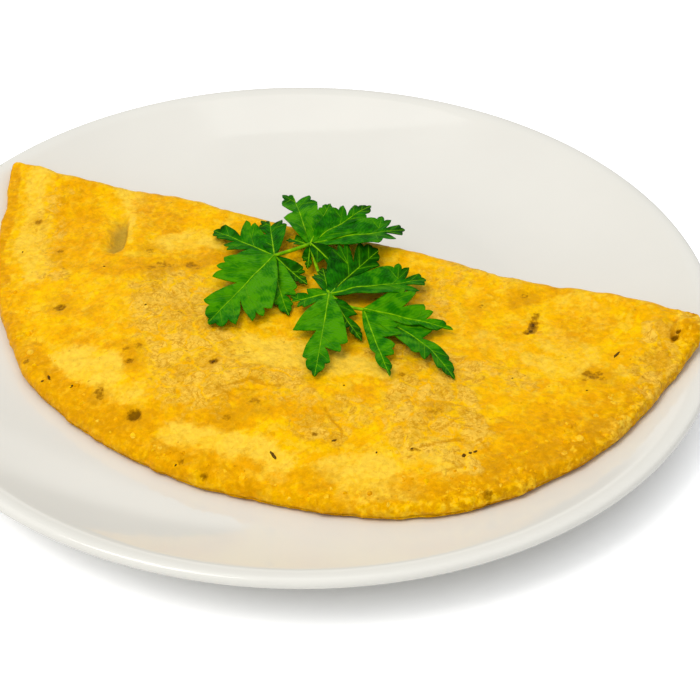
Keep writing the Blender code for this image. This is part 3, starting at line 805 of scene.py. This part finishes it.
# The cooked egg's colours, from its gold body to the scorched cores of its spots.
GOLDEN = (0.90, 0.445, 0.0)
YELLOW = (0.95, 0.54, 0.0)
SUNNY = (0.935, 0.57, 0.022)
PALE = (0.945, 0.60, 0.052)
WARM_ORANGE = (0.83, 0.366, 0.0)
DEEP_ORANGE = (0.62, 0.27, 0.0)
SKIN_BEIGE = (0.915, 0.56, 0.064)
SKIN_TAN = (0.68, 0.345, 0.004)
CREASE_BROWN = (0.60, 0.265, 0.001)
TAN_BROWN = (0.66, 0.30, 0.002)
SCORCH_BROWN = (0.37, 0.155, 0.0)
SCORCHED = (0.17, 0.068, 0.0)
DENT_SHADE = (0.42, 0.27, 0.030)
SHEEN_TINT = (1.0, 0.72, 0.0)
FLAKE_SIZE = 7 * MM
WARP_SIZE = 5 * MM
WARP_SHIFT = 8 * MM

egg, tree, shader, place = new_material("cooked_egg", 0.5, 0.14, SHEEN_TINT)


# From here on, the helpers work in the tree and at the place of the material being made.


def painted(name):
    """A layer painted on the mesh, as a value."""
    return add_node(tree, "ShaderNodeAttribute", attribute_name=name).outputs["Fac"]


def mottle(size, detail=2.0, distortion=0.0, roughness=0.5):
    """Noise whose blotches are about `size` across."""
    made = add_node(
        tree, "ShaderNodeTexNoise", Vector=place, Scale=1 / size, Detail=detail,
        Roughness=roughness, Distortion=distortion,
    )
    return made.outputs["Fac"]


def times(*values):
    """The product of some values."""
    product = values[0]
    for value in values[1:]:
        product = calculate(tree, "MULTIPLY", product, value)
    return product


def hairline(size, width, distortion):
    """Thin wandering lines, 1 on a line and 0 away from it."""
    level = mottle(size, 2, distortion)
    from_line = calculate(tree, "ABSOLUTE", calculate(tree, "SUBTRACT", level, 0.5))
    return between(tree, from_line, width, width * 0.2)


# A painted patch with a ragged rim: noise eats into it where it thins out.
ragged_patch = bpy.data.node_groups.new("ragged_patch", "ShaderNodeTree")
for name, kind in (("Vector", "NodeSocketVector"), ("Field", "NodeSocketFloat"),
                   ("Scale", "NodeSocketFloat"), ("Raggedness", "NodeSocketFloat"),
                   ("Softness", "NodeSocketFloat")):
    ragged_patch.interface.new_socket(name=name, in_out="INPUT", socket_type=kind)
ragged_patch.interface.new_socket(name="Share", in_out="OUTPUT", socket_type="NodeSocketFloat")
given = ragged_patch.nodes.new("NodeGroupInput").outputs
returned = ragged_patch.nodes.new("NodeGroupOutput")
eaten = add_node(
    ragged_patch, "ShaderNodeTexNoise", Vector=given["Vector"], Scale=given["Scale"], Detail=6.0,
    Roughness=0.65, Distortion=0.6,
).outputs["Fac"]
centred = calculate(ragged_patch, "SUBTRACT", eaten, 0.5)
bitten = calculate(ragged_patch, "MULTIPLY", centred, given["Raggedness"])
level = calculate(ragged_patch, "ADD", given["Field"], bitten)
low = calculate(ragged_patch, "SUBTRACT", 0.5, given["Softness"])
high = calculate(ragged_patch, "ADD", 0.5, given["Softness"])
give(ragged_patch, returned.inputs["Share"], between(ragged_patch, level, low, high))


def patch(field, size, raggedness, softness):
    """A share of colour from a painted field and the size of the bites in its rim."""
    made = tree.nodes.new("ShaderNodeGroup")
    made.node_tree = ragged_patch
    for name, value in (("Vector", place), ("Field", field), ("Scale", 1 / size),
                        ("Raggedness", raggedness), ("Softness", softness)):
        give(tree, made.inputs[name], value)
    return made.outputs["Share"]


def paint(share, under, over):
    """One colour laid over another by its share."""
    return blend_colours(tree, share, under, over)


orange, pale, skin, tan, brown, crease, dent, rim = (painted(name) for name in LAYERS[1:])
# The egg itself: gold and yellow clouds, flushed with orange, with small pale curds.
colour = paint(between(tree, mottle(8 * MM, 6, 0.5, 0.6), 0.40, 0.60), GOLDEN, YELLOW)
flush = between(tree, mottle(4.5 * MM, 8, 0.8, 0.65), 0.50, 0.64)
colour = paint(times(flush, 0.75), colour, WARM_ORANGE)
curds = between(tree, mottle(4 * MM, 5, 0.5, 0.6), 0.52, 0.60)
colour = paint(times(curds, 0.7), colour, SUNNY)
marbling = between(tree, mottle(7 * MM, 6, 0.9, 0.6), 0.40, 0.54, 0.45, 1.0)
colour = paint(times(patch(pale, 5 * MM, 1.7, 0.26), marbling, 0.95), colour, SUNNY)
colour = paint(times(patch(pale, 2.8 * MM, 2.4, 0.34), marbling, 0.8), colour, PALE)
veining = between(tree, mottle(5.5 * MM, 6, 0.9, 0.6), 0.42, 0.56, 0.5, 1.0)
colour = paint(times(patch(orange, 5 * MM, 2.0, 0.28), veining, 0.95), colour, WARM_ORANGE)
deep = patch(calculate(tree, "SUBTRACT", orange, 0.25), 3 * MM, 2.4, 0.3)
colour = paint(times(deep, veining, 0.6), colour, DEEP_ORANGE)
# The open rim is darker and crumbly: the hollows between its crumbs are painted deeper orange as
# painted shade, and their tops paler as painted highlights, following the crumbs' bump.
crumbs = mottle(1.9 * MM, 4, 0.3, 0.6)
colour = paint(times(rim, between(tree, crumbs, 0.60, 0.40), 0.8), colour, DEEP_ORANGE)
colour = paint(times(rim, between(tree, crumbs, 0.56, 0.66), 0.7), colour, SUNNY)
# The fried skin comes in flakes, matted with fibres, with the egg showing between them.
warp = add_node(tree, "ShaderNodeTexNoise", Vector=place, Scale=1 / WARP_SIZE, Detail=6.0)
flaked = add_node(tree, "ShaderNodeVectorMath", operation="MULTIPLY_ADD")
for socket, value in zip(flaked.inputs, (warp.outputs["Color"], (WARP_SHIFT,) * 3, place)):
    give(tree, socket, value)
flaked = flaked.outputs["Vector"]
flakes = add_node(tree, "ShaderNodeTexVoronoi", Vector=flaked, Scale=1 / FLAKE_SIZE)
splits = add_node(tree, "ShaderNodeTexVoronoi", feature="DISTANCE_TO_EDGE", Vector=flaked,
                  Scale=1 / FLAKE_SIZE)
flake_tone = add_node(tree, "ShaderNodeSeparateColor", Color=flakes.outputs["Color"]).outputs["Red"]
whole_flake = between(tree, splits.outputs["Distance"], 0.02, 0.12)
worn = between(tree, mottle(6 * MM, 3), 0.48, 0.62)
whole_flake = calculate(tree, "MAXIMUM", whole_flake, worn)
skin_share = times(patch(skin, 4.5 * MM, 2.2, 0.22), whole_flake)
fibres = between(tree, mottle(1.8 * MM, 6, 1.6, 0.6), 0.38, 0.62)
skin_tone = calculate(tree, "ADD", times(fibres, 0.55), times(flake_tone, 0.85))
skin_colour = paint(skin_tone, SKIN_TAN, SKIN_BEIGE)
colour = paint(times(skin_share, 0.85), colour, skin_colour)
threads = times(hairline(3.2 * MM, 0.07, 1.4), between(tree, mottle(4 * MM, 2), 0.42, 0.58))
wide_share = calculate(tree, "MAXIMUM", skin_share, 0.25)
colour = paint(times(threads, wide_share, 0.75), colour, CREASE_BROWN)
wrinkles = times(hairline(7 * MM, 0.028, 1.8), skin_share)
colour = paint(times(wrinkles, 0.6), colour, CREASE_BROWN)
fold_marks = patch(crease, 1.2 * MM, 1.1, 0.35)
colour = paint(times(fold_marks, 0.8), colour, CREASE_BROWN)
colour = paint(times(patch(tan, 2.2 * MM, 2.2, 0.6), 0.7), colour, TAN_BROWN)
# Painted shade in the dent, darkest where it is deepest.
colour = paint(times(patch(dent, 3 * MM, 0.6, 0.45), 0.85), colour, DENT_SHADE)
# Scorched spots: brown, with a darker broken core.
char = times(calculate(tree, "SUBTRACT", mottle(1.1 * MM, 4, 0.5), 0.5), 1.5)
charred = calculate(tree, "ADD", brown, char)
colour = paint(times(between(tree, charred, 0.25, 0.75), 0.8), colour, SCORCH_BROWN)
colour = paint(times(between(tree, charred, 0.65, 1.2), 0.9), colour, SCORCHED)
specks = between(tree, mottle(2.0 * MM, 3), 0.69, 0.75)
colour = paint(times(specks, 0.5), colour, SCORCH_BROWN)
freckle = between(tree, mottle(1.7 * MM, 4, 0.3, 0.55), 0.3, 0.7, 0.89, 1.08)
freckled = add_node(tree, "ShaderNodeVectorMath", operation="SCALE", Scale=freckle)
give(tree, freckled.inputs[0], colour)
give(tree, shader.inputs["Base Color"], freckled.outputs["Vector"])
give(tree, shader.inputs["Roughness"], between(tree, mottle(5 * MM), 0.35, 0.65, 0.42, 0.62))

coarse = add_node(tree, "ShaderNodeBump", Strength=0.7, Distance=0.9 * MM,
                  Height=mottle(3.0 * MM, 5, 0.5, 0.55))
raised = calculate(tree, "ADD", mottle(1.0 * MM, 4), times(skin_share, 0.5))
raised = calculate(tree, "ADD", raised, times(fibres, skin_share, 0.5))
raised = calculate(tree, "ADD", raised, times(flake_tone, skin_share, 0.9))
raised = calculate(tree, "ADD", raised, times(crumbs, rim, 0.8))
fine = add_node(tree, "ShaderNodeBump", Strength=0.38, Distance=0.3 * MM, Height=raised,
                Normal=coarse.outputs["Normal"])
give(tree, shader.inputs["Normal"], fine.outputs["Normal"])

surface = BVHTree.FromBMesh(shape)
omelette = object_from("folded_omelette", shape, egg)
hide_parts("omelette")
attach(omelette, "root")

# ---------------------------------------------------------------- crumbs and herb flecks
# Curds of egg that set loose along the open edge and are more than half sunk in it, and dark bits
# of fried herb that lie flat on the egg. They are lumps and chips, most of them 1 to 3 mm long.

CURD_ROWS = (
    # (from degrees, to degrees, least and most inset mm, how many) along the open edge.
    (18, 60, 1.2, 13, 70),
    (60, 100, 0.8, 6, 30),
    (100, 150, 0.6, 9, 34),
)
CURD_RADII = (0.5, 1.4)
# How deep a curd sinks in, as a share of its radius, and how uneven it is.
CURD_SINK = 0.62
CURD_DENT = 0.28
FLECK_BROWN = (0.10, 0.036, 0.0)
FLECK_GREEN = (0.11, 0.062, 0.001)
FLECK_HEIGHT = 0.22 * MM
FLECK_SINK = 0.05 * MM
FLECK_BEVEL = 0.25
FLECK_SIDES = 14
FLECK_JITTER = (0.75, 1.15)
# A curd's tone runs from 0 to 1: the low ones are flushed with orange and the high ones pale.
ORANGE_CURDS = 0.3
PALE_CURDS = 0.4
CURD_FLUSH = 0.8
# (x, y, length, width, heading in degrees) in mm.
FLECKS = (
    (97.4, -38.7, 3.8, 1.1, 50), (-9.2, -78.4, 4.2, 1.1, -58), (8.7, -74.6, 1.8, 0.8, 10),
    (46.4, -82.7, 1.6, 1.4, 60), (48.3, -81.6, 1.3, 0.9, 20), (49.9, -81.0, 1.6, 0.8, 30),
    (-79.9, -38.9, 2.2, 0.8, -60), (-72.3, -44.3, 1.6, 0.9, 40), (-81.8, -40.2, 1.2, 0.7, 20),
    (-28.4, -39.3, 1.5, 0.9, 40), (73.2, -21.5, 2.4, 1.0, 75), (72.1, -24.9, 1.9, 1.4, 40),
    (31.4, -79.3, 0.9, 0.6, 0), (-51.4, -10.5, 1.0, 0.5, 30), (64, -48, 0.8, 0.5, 20),
    (-67, 12, 1.1, 0.5, -20), (21, -80, 0.9, 0.5, 60), (-96, 24, 1.0, 0.6, 80),
    (86, -55, 0.8, 0.4, 10), (-38, -78.5, 0.9, 0.6, 30), (12, -52, 0.8, 0.5, 0),
)


def on_the_egg(x, y):
    """The point of the egg's top above a place in the plan, and the slope there."""
    return surface.ray_cast(Vector((x, y, 0.1)), Vector((0, 0, -1)))[:2]


chance = random.Random(31)
curds = bmesh.new()
light = curds.verts.layers.float.new("pale")
flushed = curds.verts.layers.float.new("orange")
for low_angle, high_angle, low_inset, high_inset, count in CURD_ROWS:
    for _ in range(count):
        turn = math.radians(chance.uniform(low_angle, high_angle))
        direction = Vector((math.cos(turn), math.sin(turn)))
        inset = chance.uniform(low_inset, high_inset) * MM
        hit, normal = on_the_egg(*to_plate(direction * (edge_reach(direction) - inset)))
        radius = CURD_RADII[0] + (CURD_RADII[1] - CURD_RADII[0]) * chance.random() ** 2
        tone = chance.random()
        added = bmesh.ops.create_icosphere(curds, subdivisions=3, radius=radius * MM)["verts"]
        seed = Vector((chance.random(), chance.random(), chance.random())) * 50
        for vert in added:
            lump = 1 + CURD_DENT * 2 * noise.noise(vert.co / (radius * MM) + seed)
            vert.co = hit + vert.co * lump - normal * radius * MM * CURD_SINK
            vert[light] = max(tone - PALE_CURDS, 0)
            vert[flushed] = CURD_FLUSH if tone < ORANGE_CURDS else 0
bmesh.ops.recalc_face_normals(curds, faces=curds.faces)
crumbs = object_from("egg_crumbs", curds, egg)

chips = bmesh.new()
for x, y, length, width, heading in FLECKS:
    turn = math.radians(heading)
    ring = bmesh.ops.create_circle(chips, segments=FLECK_SIDES, radius=1, cap_ends=True)["verts"]
    for vert in ring:
        jitter = chance.uniform(*FLECK_JITTER)
        run, side = vert.co.x * length / 2 * jitter, vert.co.y * width / 2 * jitter
        hit, normal = on_the_egg(
            (x + run * math.cos(turn) - side * math.sin(turn)) * MM,
            (y + run * math.sin(turn) + side * math.cos(turn)) * MM,
        )
        vert.co = hit - normal * FLECK_SINK
    cap = next(face for face in ring[0].link_faces if len(face.verts) == FLECK_SIDES)
    grown = bmesh.ops.extrude_face_region(chips, geom=[cap])["geom"]
    top = [item for item in grown if isinstance(item, bmesh.types.BMVert)]
    centre = sum((vert.co for vert in top), Vector()) / len(top)
    for vert in top:
        vert.co = vert.co.lerp(centre, FLECK_BEVEL) + Vector((0, 0, FLECK_HEIGHT))
bmesh.ops.recalc_face_normals(chips, faces=chips.faces)

herb, tree, shader, place = new_material("fried_herb", 0.6, 0.1)
browned = between(tree, mottle(0.7 * MM, 2), 0.4, 0.6)
give(tree, shader.inputs["Base Color"], paint(browned, FLECK_GREEN, FLECK_BROWN))
flecks = object_from("herb_flecks", chips, herb)
for piece in (crumbs, flecks):
    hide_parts("omelette")
    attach(piece, "root")

# ---------------------------------------------------------------- parsley
# One sprig of fresh flat-leaf parsley. Thin blades with rounded teeth grow from juicy stalks, with
# pale veins running out to the teeth, and the sprig rests on its leaf tips on top of the egg.

# Where a leaf's leaflets meet: (x, y, height above the egg) in mm.
HUBS = {
    "left": (-10, 12, 2.6),
    "back": (2, 16, 4.2),
    "middle": (8, -11, 3.0),
    "right": (19, -18, 2.4),
}
# (from, to, radius, sag) in mm: two of the stalks hang out of sight below the blades.
STALKS = (
    ("left", "back", 0.65, 0.0), ("back", "middle", 0.6, 2.2), ("middle", "right", 0.55, 1.6),
)
LEAF_CLEARANCE = 0.8 * MM
LEAF_THICKNESS = 0.9 * MM
LEAF_STAGGER = 0.27 * MM
NECK_HALF_WIDTH = 0.6 * MM
TOOTH_NOTCH = 0.24
LOBE_NOTCH = 0.74
TOOTH_BULGE = 0.13
LOBE_BULGE = 0.05
VEIN_LEAN = 1.25
LOWEST_VEIN = 0.08
SHORTEST_VEIN = 0.04
VEIN_BRANCH = 0.35
MIDDLE_LOBE = 0.08
BLADE_THICKNESS = 0.3 * MM
BLADE_SLICE = 0.8 * MM
BLADE_FOLD = 0.14
PILLOW_HEIGHT = 0.4 * MM
PILLOW_WIDTH = 1.6 * MM
BLADE_WAVE = 0.7 * MM
BLADE_WAVE_LENGTH = 8 * MM
BLADE_REST = 0.7 * MM
MIDRIB_RADIUS = 0.30 * MM
MIDRIB_END = 0.06 * MM
VEIN_RADIUS = 0.13 * MM
VEIN_END = 0.04 * MM
VEIN_REACH = 0.93
NECK_BULGE = 0.04
TIP_DARKENING = 0.45
RIB_FADE = 0.5 * MM
BLADE_LAYERS = ("tone", "rib", "along", "across")

# A leaflet's teeth: (along, across, lobe) for each tip, on a leaflet of length 1.
PATTERNS = {
    "broad": (
        (0.30, -0.31, 1), (0.41, -0.31, 1), (0.53, -0.27, 1), (0.80, -0.17, 2), (0.91, -0.08, 2),
        (1.00, 0.02, 2), (0.98, 0.14, 2), (0.92, 0.23, 2), (0.82, 0.32, 3), (0.73, 0.37, 3),
        (0.62, 0.38, 3),
    ),
    "hand": (
        (0.62, -0.36, 1), (0.75, -0.34, 1), (0.93, -0.15, 2), (1.00, 0.00, 2), (0.93, 0.10, 2),
        (0.83, 0.14, 2), (0.65, 0.21, 3), (0.53, 0.29, 3), (0.33, 0.36, 4),
    ),
    "spear": (
        (0.49, -0.25, 1), (0.78, -0.13, 2), (0.90, -0.08, 2), (1.00, 0.00, 2), (0.92, 0.06, 2),
        (0.84, 0.11, 2), (0.73, 0.18, 3), (0.61, 0.23, 3),
    ),
    "fan": (
        (0.74, -0.25, 1), (0.92, -0.19, 1), (1.00, 0.01, 2), (1.01, 0.13, 2), (0.80, 0.18, 2),
        (0.55, 0.21, 3),
    ),
    "wing": (
        (0.66, -0.25, 1), (0.85, -0.22, 1), (0.94, -0.12, 2), (1.00, 0.00, 2), (0.96, 0.10, 2),
        (0.90, 0.20, 3), (0.82, 0.28, 3), (0.69, 0.27, 3),
    ),
    "sail": (
        (0.50, -0.11, 1), (0.84, -0.08, 1), (1.00, 0.00, 2), (0.86, 0.09, 2), (0.73, 0.17, 3),
        (0.60, 0.24, 3), (0.48, 0.38, 4), (0.34, 0.40, 4),
    ),
}
# (hub, tip x, tip y, tip height, pattern, side, width, bend, tilt, tone): the tilt in degrees rolls
# the blade about its midrib, and the tone runs from dark 0 to bright 1.
LEAFLETS = (
    ("left", -31, 29, 1.0, "hand", 1, 1.0, 0, 4, 0.5),
    ("left", -12, 32, 1.6, "fan", 1, 1.1, 0, -6, 0.35),
    ("left", -31, -23, 0.3, "broad", 1, 0.95, 0, -5, 0.9),
    ("left", -5, -18, 0.3, "spear", 1, 0.8, -1, 6, 0.8),
    ("left", 1, -2, 1.2, "spear", 1, 0.9, 0, 10, 0.15),
    ("back", -4, 45, 3.6, "fan", 1, 0.95, 0, -4, 0.75),
    ("back", 9, 38, 4.8, "spear", -1, 0.9, 0, 8, 0.7),
    ("back", -5, 22, 2.8, "fan", 1, 1.5, 0, 5, 0.45),
    ("back", 23, 36, 5.4, "spear", 1, 1.1, 0, 6, 0.5),
    ("back", 34, 22, 4.6, "wing", 1, 1.0, 0, -6, 0.55),
    ("back", 13, 2, 3.0, "spear", 1, 0.9, 0, 12, 0.05),
    ("back", 1, 6, 2.2, "spear", -1, 1.0, 0, -8, 0.15),
    ("middle", 6, 5, 3.0, "spear", 1, 1.2, 0, 7, 0.3),
    ("middle", -4, -13, 1.6, "fan", -1, 1.6, 0, -5, 0.55),
    ("middle", 3, -50, 0.3, "spear", 1, 0.95, 0, 4, 0.85),
    ("middle", 18, -31, 0.8, "spear", -1, 0.8, 0, -10, 0.2),
    ("middle", 25, 13, 2.6, "broad", 1, 0.95, 1, 9, 0.25),
    ("middle", 40, -1, 2.0, "wing", 1, 1.0, 1, -6, 0.6),
    ("right", 47, -27, 0.8, "sail", 1, 1.0, 1, 6, 0.75),
    ("right", 46, -50, 0.3, "spear", -1, 0.7, 4, -6, 0.65),
    ("right", 26, -50, 0.6, "sail", 1, 0.65, 0, 5, 0.7),
)


def rest_height(place):
    """Height of the egg's top under a plan point. Past the fold it stays level with the fold."""
    point = from_plate(place)
    point.y = max(point.y, FOLD_CREST)
    return underside(point) + thickness(point)


def leaflet_teeth(pattern, side, length, width):
    """Each tooth's tip, its lobe and where its vein starts: a lobe's longest vein leaves the
    midrib, and the veins of its other teeth branch off that one."""
    rows = [
        (Vector((along, across * side * width)) * length, lobe)
        for along, across, lobe in PATTERNS[pattern][::side]
    ]
    teeth = []
    for tip, lobe in rows:
        main = max((other for other, group in rows if group == lobe), key=lambda spot: spot.length)
        root = Vector((max(main.x - VEIN_LEAN * abs(main.y), LOWEST_VEIN * length), 0))
        if tip is not main:
            share = VEIN_BRANCH if abs(main.y) > MIDDLE_LOBE * length else 0.0
            root = root.lerp(main, share)
            if not share:
                root.x = max(tip.x - VEIN_LEAN * abs(tip.y), LOWEST_VEIN * length)
        teeth.append((tip, lobe, root))
    return teeth


def bulged(start, end, bulge, steps):
    """A line from start to end, without its start, that bellies out to its right."""
    run = end - start
    outward = Vector((run.y, -run.x)) * bulge
    return [
        start + run * (step / steps) + outward * math.sin(math.pi * step / steps)
        for step in range(1, steps + 1)
    ]


def leaflet_edge(teeth):
    """The leaflet's outline round every rounded tooth, from one side of its neck to the other."""
    edge = [Vector((0, -NECK_HALF_WIDTH))]
    edge += bulged(edge[0], teeth[0][0], NECK_BULGE, 12)
    for (tip, lobe, root), (next_tip, next_lobe, next_root) in zip(teeth, teeth[1:]):
        depth, bulge = (TOOTH_NOTCH, TOOTH_BULGE) if lobe == next_lobe else (LOBE_NOTCH, LOBE_BULGE)
        notch = ((tip + next_tip) / 2).lerp((root + next_root) / 2, depth)
        edge += bulged(tip, notch, bulge, 5)
        edge += bulged(notch, next_tip, bulge, 5)
    return edge + bulged(teeth[-1][0], Vector((0, NECK_HALF_WIDTH)), NECK_BULGE, 12)


def mesh_from_curve(curve):
    """A curve's shape as a bmesh, with its doubled points merged."""
    holder = bpy.data.objects.new(curve.name, curve)
    scene.collection.objects.link(holder)
    graph = bpy.context.evaluated_depsgraph_get()
    mesh = bpy.data.meshes.new_from_object(holder.evaluated_get(graph))
    bpy.data.objects.remove(holder)
    shape = bmesh.new()
    shape.from_mesh(mesh)
    bmesh.ops.remove_doubles(shape, verts=shape.verts, dist=0.001 * MM)
    return shape


def add_tube(curve, points, radii):
    """A tapering tube through some points, its radius running from the first to the last."""
    spline = curve.splines.new("POLY")
    spline.points.add(len(points) - 1)
    for index, (spot, point) in enumerate(zip(spline.points, points)):
        spot.co = (*point, 1)
        share = index / (len(points) - 1)
        spot.radius = (radii[0] + (radii[1] - radii[0]) * share) / MM


class Leaflet:
    """One leaflet's frame and the height of its blade above the egg."""

    def __init__(self, index, row):
        hub, tip_x, tip_y, tip_height, pattern, side, width, bend, tilt, tone = row
        hub_x, hub_y, self.hub_height = HUBS[hub]
        self.tip_height = tip_height
        self.base = Vector((hub_x, hub_y)) * MM
        self.along = Vector((tip_x, tip_y)) * MM - self.base
        self.length = self.along.length
        self.along.normalize()
        self.across = Vector((-self.along.y, self.along.x))
        self.bend = bend * MM
        self.slope = math.tan(math.radians(tilt))
        self.stagger = LEAF_STAGGER * (index % 4 - 1.5)
        self.seed = Vector((index * 7.3, index * 3.1, 0))
        self.tone = tone
        self.teeth = leaflet_teeth(pattern, side, self.length, width)
        self.veins = [
            (root, tip) for tip, _, root in self.teeth
            if abs(tip.y) > SHORTEST_VEIN * self.length
        ]

    def vein_distance(self, x, y):
        """Distance from a place on the blade to its nearest vein."""
        nearest = abs(y)
        for root, tip in self.veins:
            nearest = min(nearest, distance_to_line(x, y, (*root, *tip)))
        return nearest

    def lay(self, x, y):
        """A place on the flat leaflet, laid over the egg."""
        share = min(max(x / self.length, 0.0), 1.0)
        bow = self.bend * math.sin(math.pi * share)
        place = self.base + self.along * x + self.across * (y + bow)
        from_vein = self.vein_distance(x, y)
        grown = smooth_step(share, 0.0, 0.25)
        lift = (self.hub_height + (self.tip_height - self.hub_height) * share) * MM + self.stagger
        lift += y * self.slope + abs(y) * BLADE_FOLD * grown
        lift += PILLOW_HEIGHT * grown * (1 - math.exp(-((from_vein / PILLOW_WIDTH) ** 2)))
        at = Vector((x, y, 0)) / BLADE_WAVE_LENGTH + self.seed
        lift += BLADE_WAVE * grown * noise.noise(at)
        lift = max(lift + LEAF_CLEARANCE + LEAF_THICKNESS / 2, BLADE_REST)
        return Vector((place.x, place.y, rest_height(place) + lift)), from_vein


blades = bmesh.new()
for name in BLADE_LAYERS:
    blades.verts.layers.float.new(name)
tubes = {}
for name in ("parsley_stalks", "parsley_veins"):
    curve = bpy.data.curves.new(name, "CURVE")
    curve.dimensions = "3D"
    curve.bevel_depth = MM
    curve.bevel_resolution = 1
    curve.use_fill_caps = True
    tubes[name] = curve
for index, row in enumerate(LEAFLETS, 1):
    leaflet = Leaflet(index, row)
    outline = bpy.data.curves.new(f"leaflet_{index:02d}", "CURVE")
    outline.dimensions = "2D"
    outline.fill_mode = "BOTH"
    spline = outline.splines.new("POLY")
    edge = leaflet_edge(leaflet.teeth)
    spline.points.add(len(edge) - 1)
    for spot, point in zip(spline.points, edge):
        spot.co = (point.x, point.y, 0, 1)
    spline.use_cyclic_u = True
    shape = mesh_from_curve(outline)
    widest = max(abs(point.y) for point in edge)
    for axis, low, high in ((0, 0, leaflet.length), (1, -widest, widest)):
        normal = Vector((1 - axis, axis, 0))
        for cut in range(math.ceil(low / BLADE_SLICE), math.ceil(high / BLADE_SLICE)):
            everything = shape.verts[:] + shape.edges[:] + shape.faces[:]
            bmesh.ops.bisect_plane(
                shape, geom=everything, plane_co=normal * cut * BLADE_SLICE, plane_no=normal
            )
    for name in BLADE_LAYERS:
        shape.verts.layers.float.new(name)
    tone_layer, rib_layer, along_layer, across_layer = (
        shape.verts.layers.float[name] for name in BLADE_LAYERS
    )
    for vert in shape.verts:
        darkened = TIP_DARKENING * smooth_step(vert.co.x / leaflet.length, 0.6, 1.0)
        vert[tone_layer] = leaflet.tone - darkened
        vert[along_layer], vert[across_layer] = vert.co.x / MM, vert.co.y / MM
        vert.co, from_vein = leaflet.lay(vert.co.x, vert.co.y)
        vert[rib_layer] = math.exp(-from_vein / RIB_FADE)
    bmesh.ops.dissolve_degenerate(shape, edges=shape.edges, dist=0.01 * MM)
    lower = bmesh.ops.extrude_face_region(shape, geom=shape.faces[:])["geom"]
    lower = [part for part in lower if isinstance(part, bmesh.types.BMVert)]
    bmesh.ops.translate(shape, verts=lower, vec=(0, 0, -BLADE_THICKNESS))
    bmesh.ops.recalc_face_normals(shape, faces=shape.faces)
    mesh = bpy.data.meshes.new("leaflet")
    shape.to_mesh(mesh)
    shape.free()
    blades.from_mesh(mesh)
    bpy.data.meshes.remove(mesh)

    midrib = [leaflet.lay(leaflet.length * step / 24, 0)[0] for step in range(25)]
    add_tube(tubes["parsley_stalks"], midrib, (MIDRIB_RADIUS, MIDRIB_END))
    for root, tip in leaflet.veins:
        points = [root.lerp(tip, step / 12 * VEIN_REACH) for step in range(13)]
        laid = [leaflet.lay(*point)[0] for point in points]
        add_tube(tubes["parsley_veins"], laid, (VEIN_RADIUS, VEIN_END))

for first, second, radius, sag in STALKS:
    points = []
    for step in range(9):
        point = Vector(HUBS[first]).lerp(Vector(HUBS[second]), step / 8) * MM
        level = rest_height(point.to_2d()) + LEAF_CLEARANCE + LEAF_THICKNESS / 2 + point.z
        level -= sag * MM * math.sin(math.pi * step / 8)
        points.append(Vector((point.x, point.y, level)))
    add_tube(tubes["parsley_stalks"], points, (radius * MM, radius * MM))

LEAF_DARK = (0.0, 0.042, 0.0)
LEAF_GREEN = (0.009, 0.150, 0.0)
LEAF_BRIGHT = (0.064, 0.285, 0.0)
VEIN_GREEN = (0.055, 0.25, 0.0)
RIB_GREEN = (0.12, 0.36, 0.001)
STALK_GREEN = (0.27, 0.55, 0.003)
LEAF_SHEEN = (0.4, 1.0, 0.0)
# (name of one, roughness, specular, size of its streaks, their two greens).
TUBE_LOOKS = (
    ("parsley_stalk", 0.4, 0.18, 2 * MM, RIB_GREEN, STALK_GREEN),
    ("parsley_vein", 0.45, 0.12, 3 * MM, VEIN_GREEN, RIB_GREEN),
)
RIB_SHARE = 0.4
RIDGE_SPACING = 1.5
RIDGE_LEAN = 0.85
RIDGE_WANDER = 4.5

leaf, tree, shader, place = new_material("parsley_leaf", 0.45, 0.08, LEAF_SHEEN)
blotch = mottle(4 * MM, 4)
# The blade puckers into ridges that run from the midrib out to the rim.
lean = times(calculate(tree, "ABSOLUTE", painted("across")), RIDGE_LEAN)
run = calculate(tree, "SUBTRACT", painted("along"), lean)
run = calculate(tree, "ADD", run, times(mottle(3 * MM, 3), RIDGE_WANDER))
ridge = calculate(tree, "SINE", times(run, math.tau / RIDGE_SPACING))
ridge = between(tree, ridge, -1.0, 1.0)
tone = calculate(tree, "ADD", painted("tone"), between(tree, blotch, 0.3, 0.7, -0.32, 0.32))
# Pucker crests are painted lighter and troughs darker: painted light and shade that follow their
# bump.
tone = calculate(tree, "ADD", tone, between(tree, ridge, 0.0, 1.0, -0.07, 0.06))
blade_colour = colour_ramp(tree, tone, (0.0, LEAF_DARK), (0.5, LEAF_GREEN), (1.0, LEAF_BRIGHT))
rib = times(painted("rib"), RIB_SHARE)
give(tree, shader.inputs["Base Color"], paint(rib, blade_colour, VEIN_GREEN))
give(tree, shader.inputs["Roughness"], between(tree, mottle(3 * MM), 0.3, 0.7, 0.36, 0.52))
puckers = add_node(tree, "ShaderNodeBump", Strength=0.35, Distance=0.3 * MM, Height=ridge)
cells_bump = add_node(tree, "ShaderNodeBump", Strength=0.4, Distance=0.2 * MM,
                      Height=mottle(0.9 * MM, 3), Normal=puckers.outputs["Normal"])
give(tree, shader.inputs["Normal"], cells_bump.outputs["Normal"])

sprig = [object_from("parsley_leaves", blades, leaf)]
for name, roughness, specular, streak_size, dark, bright in TUBE_LOOKS:
    green, tree, shader, place = new_material(name, roughness, specular, LEAF_SHEEN)
    streak = between(tree, mottle(streak_size, 2), 0.35, 0.65)
    give(tree, shader.inputs["Base Color"], paint(streak, dark, bright))
    sprig.append(object_from(name + "s", mesh_from_curve(tubes[name + "s"]), green))
for piece in sprig:
    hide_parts("parsley")
    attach(piece, "root")
